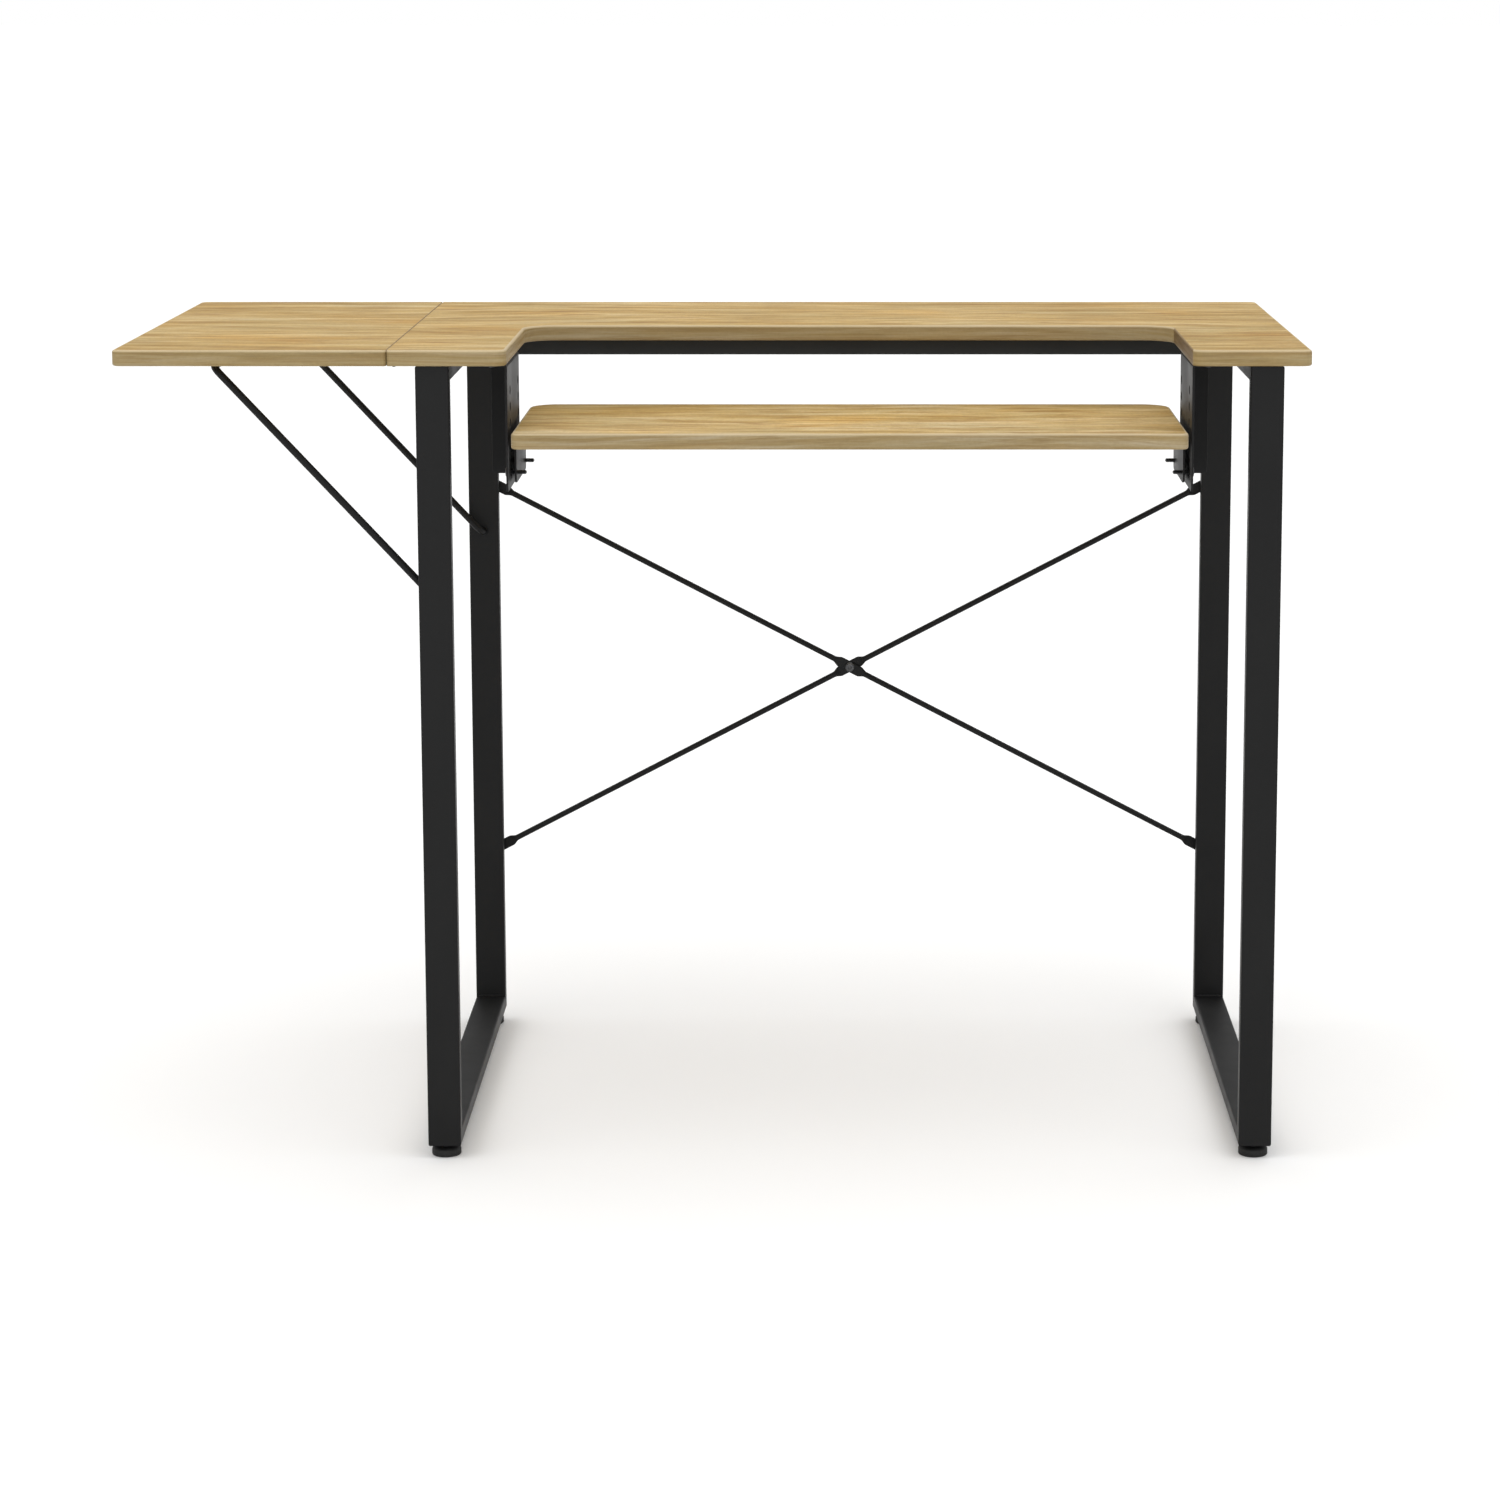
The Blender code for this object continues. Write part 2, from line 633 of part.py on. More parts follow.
def add_fixed_bracket(side, steel, root):
    """A perforated upright plate with a flange behind it and a flange under the main board."""
    sign = SIDES[side]
    inner = FIXED_INNER
    outer = FIXED_INNER + PLATE
    front = FRONT + FIXED_FRONT
    rear = FRONT + FIXED_REAR
    tip = outer + FLANGE
    plan = [
        (inner, front, 0),
        (outer, front, 0),
        (outer, rear - PLATE, 0),
        (tip, rear - PLATE, 0),
        (tip, rear, 0),
        (inner, rear, PLATE_BEND),
    ]
    plan = [(MAIN_X + sign * a, b, radius) for a, b, radius in plan]
    shape = prism(rounded_outline(plan), "Z", FIXED_BOTTOM, FRAME_TOP)
    bracket = add_part(f"{side}_fixed_bracket", shape, steel, root)

    near = MAIN_X + sign * (inner + PLATE / 2)
    far = MAIN_X + sign * tip
    flange = box(
        (min(near, far), front, FRAME_TOP - PLATE), (max(near, far), rear - PLATE / 2, FRAME_TOP)
    )
    join(bracket, flange)

    pitch = SLIDE_TRAVEL / (HOLE_ROWS - 1)
    start = MAIN_X + sign * (inner - OVERCUT)
    holes = []
    for setback in HOLE_COLUMNS:
        for row in range(HOLE_ROWS):
            spot = (start, FRONT + setback, SCREW_HEIGHT + row * pitch)
            holes.append(round_bar(spot, (sign, 0, 0), HOLE_RADIUS, PLATE + 2 * OVERCUT, HOLE_SIDES))
    cut(bracket, holes)


def add_carrier(side, steel, platform):
    """The angle screwed under the platform's end, whose upright side runs beside the fixed bracket."""
    sign = SIDES[side]
    outer = CARRIER_OUTER
    inner = outer - PLATE
    low = CARRIER_BOTTOM
    high = PLATFORM_TOP - BOARD - FIT
    front = FRONT + CARRIER_FRONT
    rear = FRONT + CARRIER_REAR
    upright = [
        (front, low, CARRIER_CORNER),
        (rear, low, CARRIER_CORNER),
        (rear, high, 0),
        (front, high, 0),
    ]
    xs = sorted((MAIN_X + sign * inner, MAIN_X + sign * outer))
    carrier = add_part(f"{side}_carrier", prism(rounded_outline(upright), "X", *xs), steel, platform)

    near = MAIN_X + sign * (inner + PLATE / 2)
    far = MAIN_X + sign * (inner - FLANGE)
    flange = box((min(near, far), front, high - PLATE), (max(near, far), rear, high))
    join(carrier, flange)

    start = MAIN_X + sign * (inner - OVERCUT)
    holes = []
    for setback in HOLE_COLUMNS:
        spot = (start, FRONT + setback, SCREW_HEIGHT)
        holes.append(round_bar(spot, (sign, 0, 0), SCREW_RADIUS + FIT, PLATE + 2 * OVERCUT))
    cut(carrier, holes)


def add_locking_screw(name, sign, y, zinc, platform):
    """One locking screw in two pieces, without the short length inside the fixed bracket's hole."""
    tip = CARRIER_OUTER - PLATE - SCREW_TIP
    shank = FIXED_INNER - FIT - tip
    profile = [(SCREW_RADIUS * 0.6, 0), (SCREW_RADIUS, SCREW_POINT), (SCREW_RADIUS, shank)]
    start = (MAIN_X + sign * tip, y, SCREW_HEIGHT)
    add_part(f"{name}_shank", turned(start, (sign, 0, 0), profile), zinc, platform)

    start = (MAIN_X + sign * (FIXED_INNER + PLATE + FIT), y, SCREW_HEIGHT)
    add_part(f"{name}_head", turned(start, (sign, 0, 0), domed_head(0, SCREW_HEAD)), zinc, platform)


def build():
    for old in list(bpy.data.objects):
        bpy.data.objects.remove(old)

    wood = material("light_oak", (0.55, 0.40, 0.19), 0.45, 0.0)
    steel = material("black_powder_coat", (0.03, 0.03, 0.031), 0.5, 0.0)
    zinc = material("blackened_zinc", (0.06, 0.06, 0.062), 0.4, 0.9)
    rubber = material("black_rubber", (0.02, 0.02, 0.02), 0.75, 0.0)

    root = body_empty("desk_origin")
    leaf = body_empty("leaf_axis", (HINGE_X, 0, HINGE_Z))
    brace = body_empty("brace_axis", (LEFT_LEG_X, 0, BRACE_PIVOT_HEIGHT))
    platform = body_empty("platform_axis", (MAIN_X, FRONT + PLATFORM_DEPTH / 2, PLATFORM_TOP))

    add_boards(wood, root, leaf, platform)
    frames = {side: add_side_frame(side, steel, root) for side in SIDES}
    add_crossbar(steel, root)
    add_cross_brace(steel, zinc, root, frames)

    for side, sign in SIDES.items():
        x = MAIN_X + sign * LEG_OFFSET
        for end, y in FOOT_YS.items():
            name = f"{end}_{side}_foot"
            foot = body_empty(f"{name}_axis", (x, y, 0))
            add_foot(name, x, y, rubber, zinc, root, foot)

    add_hinge("front_hinge", FRONT + HINGE_INSET + HINGE_LENGTH / 2, steel, zinc, root, leaf)
    add_hinge("rear_hinge", -FRONT - HINGE_INSET - HINGE_LENGTH / 2, steel, zinc, root, leaf)
    add_leaf_brace(steel, brace, frames)

    for side, sign in SIDES.items():
        add_fixed_bracket(side, steel, root)
        add_carrier(side, steel, platform)
        for end, setback in zip(("front", "rear"), HOLE_COLUMNS):
            add_locking_screw(f"{side}_{end}_screw", sign, FRONT + setback, zinc, platform)


build()
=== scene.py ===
"""Looks of a straight sewing desk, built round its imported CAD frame.

Wooden boards stand on two closed steel side frames. A machine platform hangs below the
notch of the main board, and a side leaf folds down over a rod brace.

Everything is in metres in the CAD frame: -Y is the sitter's side and the leaf is on -X.
"""

import json
import math

import bmesh
import bpy
from mathutils import Matrix, Vector


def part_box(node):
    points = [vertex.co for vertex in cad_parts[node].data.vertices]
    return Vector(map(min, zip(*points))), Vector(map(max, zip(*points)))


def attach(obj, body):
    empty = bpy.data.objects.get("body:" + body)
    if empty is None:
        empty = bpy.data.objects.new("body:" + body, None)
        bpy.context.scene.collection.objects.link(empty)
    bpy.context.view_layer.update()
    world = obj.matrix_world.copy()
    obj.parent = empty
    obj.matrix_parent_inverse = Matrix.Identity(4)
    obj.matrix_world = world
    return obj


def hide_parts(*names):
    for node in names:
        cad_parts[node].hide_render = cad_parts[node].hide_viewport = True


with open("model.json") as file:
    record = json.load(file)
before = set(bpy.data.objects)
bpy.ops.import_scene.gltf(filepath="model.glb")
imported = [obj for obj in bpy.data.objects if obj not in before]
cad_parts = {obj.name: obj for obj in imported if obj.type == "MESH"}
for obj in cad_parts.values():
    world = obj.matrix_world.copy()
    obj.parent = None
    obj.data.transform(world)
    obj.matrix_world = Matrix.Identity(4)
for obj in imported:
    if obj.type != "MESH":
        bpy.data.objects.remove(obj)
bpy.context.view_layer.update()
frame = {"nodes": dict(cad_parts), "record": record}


def centre_of(node):
    """The middle of a CAD node's box at rest."""
    low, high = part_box(node)
    return (low + high) / 2


SIDES = {"left": -1, "right": 1}
ENDS = ("front", "rear")

# Places that come from the CAD model
MAIN_LOW, MAIN_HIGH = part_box("main_top")
LEAF_LOW, LEAF_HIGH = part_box("side_leaf")
SHELF_LOW, SHELF_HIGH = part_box("machine_platform")
MIDDLE_X = (MAIN_LOW.x + MAIN_HIGH.x) / 2

# Boards
NOTCH_HALF_WIDTH = 0.3195
NOTCH_DEPTH = 0.240
NOTCH_CORNER = 0.030
NOTCH_LIP = 0.011
BOARD_CORNER = 0.009
SEAM_CORNER = 0.004
SHELF_REAR_CORNER = 0.028
SHELF_FRONT_CORNER = 0.008
TOP_ROUND = 0.0026
BOTTOM_ROUND = 0.0020
ROUND_STEPS = 6
CORNER_STEPS = 14
SEAM_ROUND = 0.28
SEAM_REACH = 0.0004
SEAM_FACING = 0.98

# Grain attribute of the boards: which sheet of the print a face takes, and where on it
TOP_LAYER = 0.0
EDGE_LAYER = 4.0
# The faces in the seam take their own sheet, which is painted in shade
SEAM_LAYER = 4.5
UNDER_LAYER = 8.0
EDGE_START = 0.8
EDGE_STRETCH = 3.0
# Where the painted highlight along the upper rim of an edge starts and ends
RIM_START = EDGE_START + EDGE_STRETCH * 0.0136
RIM_END = EDGE_START + EDGE_STRETCH * 0.0156
SEAM_SPLIT = (EDGE_LAYER + 0.2, EDGE_LAYER + 0.3)

# Noises of the wood print: (scale along, across and between layers), detail and roughness
WOOD_NOISES = {
    "drift": ((1.3, 3.4, 1), 1.5, 0.4),
    "sway": ((7, 15, 1), 2.0, 0.45),
    "broad": ((3.0, 18, 1), 2.0, 0.5),
    "bands": ((6.5, 62, 1), 3.0, 0.6),
    "clusters": ((10, 46, 7), 2.0, 0.6),
    "streaks": ((16, 170, 1), 4.0, 0.7),
    "ring_mask": ((8, 24, 5), 3.0, 0.6),
    "fibres": ((26, 900, 1), 3.0, 0.65),
    "flecks": ((300, 90, 1), 2.0, 0.65),
    "patches": ((6, 12, 1), 3.0, 0.5),
    "ticks": ((19, 95, 9), 3.0, 0.65),
    "pores": ((55, 1500, 1), 1.0, 0.5),
}
DRIFT_REACH = 0.170
SWAY_REACH = 0.015
RINGS_PER_METRE = 34.0
RING_WOBBLE = 0.20
BAND_SHARE = 0.55
THREAD_SHARE = 0.60
FLECK_SHARE = 0.05
EDGE_CALM = 0.40
# How strongly the painted highlight is laid on the upper rim
RIM_HIGHLIGHT_SHARE = 0.55

# Wood tones, and the tints that multiply them. The edge tint is partly painted shade, the rim tone a painted
# highlight, the seam tint painted shade and the platform tint partly painted light.
WOOD_TONES = (
    (0.38, (0.605, 0.437, 0.196)),
    (0.47, (0.520, 0.355, 0.128)),
    (0.54, (0.440, 0.282, 0.084)),
    (0.63, (0.335, 0.196, 0.038)),
)
NO_TINT = (1.0, 1.0, 1.0)
COOL_PATCH = (0.92, 0.98, 1.11)
WARM_PATCH = (1.07, 0.97, 0.76)
STREAK_TINTS = ((0.30, (1.13, 1.17, 1.32)), (0.50, NO_TINT), (0.70, (0.86, 0.78, 0.60)))
RING_TONE = (0.345, 0.182, 0.044)
THREAD_TONE = (0.275, 0.145, 0.034)
LIGHT_TICK = (0.640, 0.480, 0.240)
PORE_TONE = (0.180, 0.100, 0.036)
EDGE_MEAN = (0.470, 0.315, 0.110)
# Painted shade: darkens the boards' upright edges, which get less light than the tops, and cools them
EDGE_PAINTED_SHADE_TINT = (0.71, 0.79, 1.10)
# Painted highlight: a pale line along the upper rounded rim of the boards' edges
RIM_PAINTED_HIGHLIGHT = (0.640, 0.520, 0.330)
# Painted shade on the faces in the seam between the main board and the leaf
SEAM_PAINTED_SHADE = (0.50, 0.42, 0.31)
BOARD_TINT = (0.920, 0.925, 0.890)
# Painted light: lifts the platform's wood against the shade of the main board above it, and cools it
SHELF_PAINTED_LIGHT_TINT = (1.010, 1.055, 1.190)

# Tones of the other finishes: light and dark coats, or stops of a ramp
STEEL_TONES = ((0.0104, 0.0105, 0.0106), (0.0070, 0.0071, 0.0072))
# Painted light: the crossbar's coat is lighter than the legs' to offset the shade under the boards
BAR_PAINTED_LIGHT_TONES = ((0.0370, 0.0408, 0.0445), (0.0300, 0.0330, 0.0362))
COAT_SPECK = (0.030, 0.031, 0.032)
ZINC_TONES = ((0.3, (0.060, 0.061, 0.064)), (0.7, (0.110, 0.110, 0.113)))
RUBBED_ZINC = (0.22, 0.22, 0.225)
PAD_TONES = ((0.35, (0.012, 0.012, 0.012)), (0.75, (0.024, 0.024, 0.023)))
FLOOR_TONES = ((0.3, (0.865, 0.865, 0.862)), (0.7, (0.885, 0.885, 0.883)))

# Leaf brace and rear cross-brace
BRACE_RADIUS = 0.0035
BRACE_ARM_GAP = 0.013
BRACE_BEND = 0.009
BRACE_BEND_STEPS = 12
BRACE_TIP = 0.0006
BRACE_TIP_RING = 0.0004
BRACE_TIP_SHRINK = 0.82
ROD_SIDES = 24
CROSS_RADIUS = 0.003
CROSS_FLAT_WIDTH = 0.0056
CROSS_FLAT_THICKNESS = 0.00125
CROSS_TIP = 0.009
CROSS_END_FLAT = 0.026
CROSS_MIDDLE_FLAT = 0.011
CROSS_BLEND = 0.008
CROSS_BLEND_STEPS = 6
CROSS_NOSE_STEPS = 8
CROSS_NOSE_START = 0.4
CROSS_LEG_GAP = 0.0003
CROSS_ROD_GAP = 0.00015
SCREW_GAP = 0.0001

# Sheet brackets and locking screws
SHEET = 0.002
BEND_OUTER = 0.0028
BEND_STEPS = 6
SHEET_EDGE_ROUND = 0.00025
HARD_ANGLE = math.radians(50)
LEVEL_TOLERANCE = 1e-5
FLANGE_LAP = 0.006
FLANGE_END_GAP = 0.001
FLANGE_CORNER = 0.004
CARRIER_CORNER = 0.006
HOLE_ROWS = 6
HOLE_RADIUS = 0.0044
HOLE_SIDES = 40
RIM_CHAMFER = 0.0003
LOCK_RADIUS = 0.00225
LOCK_CLEARANCE = 0.0003
LOCK_Z = centre_of("left_front_screw_shank").z
LOCK_YS = [centre_of(f"left_{end}_screw_shank").y for end in ENDS]
FLANGE_SCREW_REACH = 0.0155
RACK_SCREW_SHIFTS = (-0.048, 0.0, 0.042)
ANGLE_SCREW_SHIFTS = (-0.040, 0.0, 0.040)

# Hinges
HINGE_PIN_RADIUS = 0.0014
HINGE_PIN_GAP = 0.0002
HINGE_SHEET = 0.0013
HINGE_KNUCKLE = 0.018
HINGE_KNUCKLE_GAP = 0.0002
HINGE_BARREL_GAP = 0.0009
HINGE_GAP_OVERLAP = 0.001
HINGE_CORNER = 0.003
HINGE_BEVEL = 0.0003
HINGE_CURL_START = math.radians(112)
HINGE_CURL_END = math.radians(318)
HINGE_CURL_STEPS = 24
HINGE_CURL_EDGE = 0.0008
HINGE_PIN_SIDES = 28
HINGE_SCREWS = ((0.0155, -0.021), (0.0175, 0.0), (0.0155, 0.021))

# Screws: (radius, height, upright share) of a head, and (radius, length, pitch, tip length) of a shank
WOOD_SCREW = ((0.0036, 0.0021, 0.25), (0.0018, 0.0125, 0.0016, 0.004))
HINGE_SCREW = ((0.0030, 0.0007, 0.3), (0.0015, 0.0105, 0.0014, 0.004))
FRAME_BOLT = ((0.0055, 0.0030, 0.2), (0.0030, 0.012, 0.0010, 0.001))
CROSS_HEAD = (0.0050, 0.0024, 0.25)
CROSS_SHANK = (0.00225, 0.0105, 0.0007, 0.001)
CROSS_BOLT_REACH = 0.0024
CROSS_NUT = (0.0046, 0.0022, 0.0019)
LOCK_HEAD = (0.0050, 0.0030, 0.3)
LOCK_PITCH = 0.0008
LOCK_TIP = 0.001
SCREW_SIDES = 24
CUTTER_SIDES = 48
BORE_SIDES = 32
THREAD_CUTS = 5
THREAD_DEPTH = 0.16
SMOOTH_SHANK = 0.0012
TIP_SHARE = 0.12
HEAD_STEPS = 6
HEAD_FLAT = 0.62
HEAD_CROWN = 0.985
RECESS_SHARE = {"cross": 0.52, "hex": 0.50}
RECESS_DEPTH = 0.75
RECESS_OVERLAP = 0.002
CROSS_OVERLAP = 0.001
CROSS_BOTTOM = (0.30, 0.13)
CROSS_MOUTH = (1.05, 0.20)

# Feet, welds and frame fasteners
FOOT_STEM_RADIUS = 0.004
FOOT_STEM_LOW = 0.0036
FOOT_STEM_STEPS = 84
FOOT_COLLAR = 0.0028
FOOT_PITCH = 0.00125
FOOT_THREAD_DEPTH = 0.0006
FOOT_PAD_SIDES = 192
FOOT_RIBS = 32
FOOT_RIB_DEPTH = 0.00035
FOOT_RIB_LOW = 0.0030
FOOT_RIB_HIGH = 0.0062
WELD_SIZE = 0.0022
WELD_STEPS = 44
WELD_ARC_STEPS = 4
WELD_WAVES = 46
WELD_RIPPLE = 0.07
WELD_SAG = 0.62
WELD_BURIED = 0.0004
WELD_SIDE_GAP = 0.005
RAIL_SCREW_INSET = 0.075
BAR_SCREW_GAP = 0.045
BAR_BOLT_SHIFTS = (-0.008, 0.008)

# Studio: each light has its place, target, size and power
SKY_LOW = 0.22
SKY_HIGH = 1.75
FLOOR_HALF = 60.0
OVERHEAD_LIGHT = ((-0.6, -0.9, 3.6), (0.05, 0, 0.5), (2.6, 2.6), 9.0)
FRONT_LIGHT = ((-0.2, -4.2, 0.55), (0.0, 0, 0.6), (3.2, 1.0), 16.0)
CAMERA_PLACE = (0.128, -3.732, 1.1405)
CAMERA_FALL = math.radians(8.79)
CAMERA_LENS = 90.47
CAMERA_SENSOR = 36.0
CAMERA_SHIFT = (-0.0665, -0.14)
CAMERA_REACH = 200.0


# ---------------------------------------------------------------- materials


class Finish:
    """A procedural material under construction. Its methods return sockets."""

    def __init__(self, name, **flat):
        self.material = bpy.data.materials.new(name)
        self.material.use_nodes = True
        self.tree = self.material.node_tree
        self.shader = self.tree.nodes["Principled BSDF"]
        for socket, value in flat.items():
            self.shader.inputs[socket.replace("_", " ")].default_value = value

    def feed(self, socket, value):
        """Links or sets an input socket."""
        if isinstance(value, bpy.types.NodeSocket):
            self.tree.links.new(value, socket)
        else:
            socket.default_value = value

    def node(self, kind, inputs=(), **settings):
        made = self.tree.nodes.new("ShaderNode" + kind)
        for setting, value in settings.items():
            setattr(made, setting, value)
        for socket, value in dict(inputs).items():
            self.feed(made.inputs[socket], value)
        return made

    def set(self, socket, value):
        self.tree.links.new(value, self.shader.inputs[socket])

    def object_place(self):
        return self.node("TexCoord").outputs["Object"]

    def attribute(self, name):
        return self.node("Attribute", attribute_name=name).outputs["Vector"]

    def maths(self, operation, *values):
        return self.node("Math", dict(enumerate(values)), operation=operation).outputs[0]

    def product(self, first, second):
        return self.maths("MULTIPLY", first, second)

    def scaled(self, vector, factors):
        return self.node("VectorMath", {0: vector, 1: factors}, operation="MULTIPLY").outputs[0]

    def parts(self, vector):
        return self.node("SeparateXYZ", {0: vector}).outputs

    def joined(self, x, y, z):
        return self.node("CombineXYZ", {0: x, 1: y, 2: z}).outputs[0]

    def noise(self, vector, scale=1.0, detail=2.0, roughness=0.5):
        inputs = {"Vector": vector, "Scale": scale, "Detail": detail, "Roughness": roughness}
        return self.node("TexNoise", inputs).outputs[0]

    def step(self, value, low, high, to_low=0.0, to_high=1.0):
        """A smooth step of value from low to high, onto to_low and to_high."""
        inputs = {0: value, 1: low, 2: high, 3: to_low, 4: to_high}
        return self.node("MapRange", inputs, interpolation_type="SMOOTHSTEP").outputs[0]

    def ramp(self, value, stops):
        made = self.node("ValToRGB", {0: value})
        elements = made.color_ramp.elements
        while len(elements) < len(stops):
            elements.new(0.5)
        for element, (spot, colour) in zip(elements, stops):
            element.position = spot
            element.color = (*colour, 1.0)
        return made.outputs[0]

    def blend(self, factor, first, second, mode="MIX"):
        made = self.node("Mix", data_type="RGBA", blend_type=mode)
        for socket, value in ((0, factor), (6, first), (7, second)):
            self.feed(made.inputs[socket], (*value, 1.0) if isinstance(value, tuple) else value)
        return made.outputs[2]

    def tinted(self, factor, colour, tint):
        """The colour multiplied by a tint, as far as factor says."""
        return self.blend(factor, colour, self.blend(1.0, colour, tint, "MULTIPLY"))

    def grey(self, value):
        return self.node("CombineColor", {0: value, 1: value, 2: value}).outputs[0]

    def bump(self, height, strength, distance):
        inputs = {"Height": height, "Strength": strength, "Distance": distance}
        self.set("Normal", self.node("Bump", inputs).outputs[0])


def figure(wood, place, name, pace=1.0):
    """One of the wood print's noises. pace crowds it within its layer."""
    (along, across, layers), detail, roughness = WOOD_NOISES[name]
    scales = (along * pace, across * pace, layers)
    return wood.noise(wood.scaled(place, scales), detail=detail, roughness=roughness)


def growth_lines(wood, flow, streaks, mask, pace, contrast):
    """How dark the growth rings are: each one darkens slowly and ends sharply."""
    ring_count = wood.product(flow, RINGS_PER_METRE * pace)
    ring = wood.maths("FRACT", wood.maths("MULTIPLY_ADD", streaks, RING_WOBBLE, ring_count))
    late = wood.product(wood.step(ring, 0.45, 0.90), wood.step(ring, 0.90, 1.0, 1.0, 0.0))
    return wood.product(late, wood.step(mask, 0.38, 0.60, 0.10, 0.52 * contrast))


def edge_tones(wood, grain, colour):
    """Calmer wood on a board's edge, darkened there as painted shade and cooled, a painted highlight along
    its upper rim, and painted shade in the seam.
    """
    _, height, sheet = wood.parts(grain)[:3]
    off_edge = wood.maths("ABSOLUTE", wood.maths("SUBTRACT", sheet, EDGE_LAYER))
    on_edge = wood.maths("LESS_THAN", off_edge, 1.0)
    colour = wood.blend(wood.product(on_edge, EDGE_CALM), colour, EDGE_MEAN)
    # painted shade on every edge, with a cooler cast
    colour = wood.tinted(on_edge, colour, EDGE_PAINTED_SHADE_TINT)
    # painted highlight along the upper rim
    rim = wood.product(on_edge, wood.step(height, RIM_START, RIM_END, 0.0, RIM_HIGHLIGHT_SHARE))
    colour = wood.blend(rim, colour, RIM_PAINTED_HIGHLIGHT)
    # painted shade in the seam
    in_seam = wood.product(on_edge, wood.step(sheet, *SEAM_SPLIT))
    return wood.tinted(in_seam, colour, SEAM_PAINTED_SHADE)


def wood_finish(name, layer, pace=1.0, contrast=1.0, tint=BOARD_TINT):
    """Pale oak print: growth lines, streaks that follow them, dark threads, flecks and short pores.

    layer picks a part of the print, pace crowds its figure and contrast deepens it. tint multiplies the whole
    board; the platform's tint is partly painted light, a lift against the shade of the main board above it.
    """
    wood = Finish(name, Specular_IOR_Level=0.22)
    grain = wood.attribute("grain")
    place = wood.node("VectorMath", {0: grain, 1: (0, 0, layer)}, operation="ADD").outputs[0]
    x, y, z = wood.parts(place)[:3]

    flow = wood.maths("MULTIPLY_ADD", figure(wood, place, "drift", pace), DRIFT_REACH / pace, y)
    flow = wood.maths("MULTIPLY_ADD", figure(wood, place, "sway", pace), SWAY_REACH / pace, flow)
    along = wood.joined(x, flow, z)
    paced = ("broad", "bands", "clusters", "streaks", "ring_mask")
    broad, bands, clusters, streaks, ring_mask = (figure(wood, along, noise, pace) for noise in paced)
    fibres, ticks, pores = (figure(wood, along, noise) for noise in ("fibres", "ticks", "pores"))
    flecks, patches = (figure(wood, place, noise) for noise in ("flecks", "patches"))

    mixed = wood.maths("MULTIPLY_ADD", bands, BAND_SHARE, wood.product(broad, 1 - BAND_SHARE))
    colour = wood.ramp(mixed, WOOD_TONES)
    colour = wood.tinted(wood.step(patches, 0.46, 0.68), colour, COOL_PATCH)
    colour = wood.tinted(wood.step(patches, 0.30, 0.46, 1.0, 0.0), colour, WARM_PATCH)
    ringed = growth_lines(wood, flow, streaks, ring_mask, pace, contrast)
    colour = wood.blend(ringed, colour, RING_TONE)
    colour = wood.blend(1.0, colour, wood.ramp(streaks, STREAK_TINTS), "MULTIPLY")

    fibre_tone = wood.step(fibres, 0.30, 0.70, 1.11, 0.88)
    fleck_depth = FLECK_SHARE * contrast
    fleck_tone = wood.step(flecks, 0.30, 0.70, 1 - fleck_depth, 1 + fleck_depth)
    colour = wood.blend(1.0, colour, wood.grey(wood.product(fibre_tone, fleck_tone)), "MULTIPLY")
    # the board's tint; on the platform it is partly painted light
    colour = wood.blend(1.0, colour, tint, "MULTIPLY")

    in_cluster = wood.step(clusters, 0.52, 0.64)
    threads = wood.product(in_cluster, wood.step(streaks, 0.42, 0.58, 0.10, 1.0))
    colour = wood.blend(wood.product(threads, THREAD_SHARE * contrast), colour, THREAD_TONE)
    colour = wood.blend(wood.step(ticks, 0.58, 0.66, 0.0, 0.34 * contrast), colour, THREAD_TONE)
    colour = wood.blend(wood.step(ticks, 0.34, 0.44, 0.16 * contrast, 0.0), colour, LIGHT_TICK)
    pore = wood.step(pores, 0.58, 0.68, 0.0, 0.55 * contrast)
    pore = wood.product(pore, wood.step(bands, 0.40, 0.62, 0.35, 1.0))
    colour = wood.blend(pore, colour, PORE_TONE)
    # the edge tones lay painted shade, a painted highlight and painted seam shade over the print
    wood.set("Base Color", edge_tones(wood, grain, colour))

    wood.set("Roughness", wood.step(streaks, 0.25, 0.75, 0.46, 0.58))
    depth = wood.maths("MULTIPLY_ADD", pore, -1.6, wood.product(fibres, 0.35))
    wood.bump(depth, strength=0.35, distance=0.00012)
    return wood.material


def powder_finish(name, light, dark, gloss=(0.42, 0.52)):
    """Near-black powder coat between two tones and two roughnesses, with a slight orange peel."""
    coat = Finish(name, Specular_IOR_Level=0.16)
    place = coat.object_place()
    broad = coat.noise(place, scale=14.0, detail=3.0)
    peel = coat.noise(place, scale=900.0, detail=2.0, roughness=0.55)
    speck = coat.noise(place, scale=2600.0, detail=1.0)
    colour = coat.ramp(broad, [(0.3, dark), (0.7, light)])
    glint = coat.step(speck, 0.66, 0.78, 0.0, 0.25)
    coat.set("Base Color", coat.blend(glint, colour, COAT_SPECK))
    coat.set("Roughness", coat.step(broad, 0.3, 0.7, *gloss))
    coat.bump(peel, strength=0.22, distance=0.00010)
    return coat.material


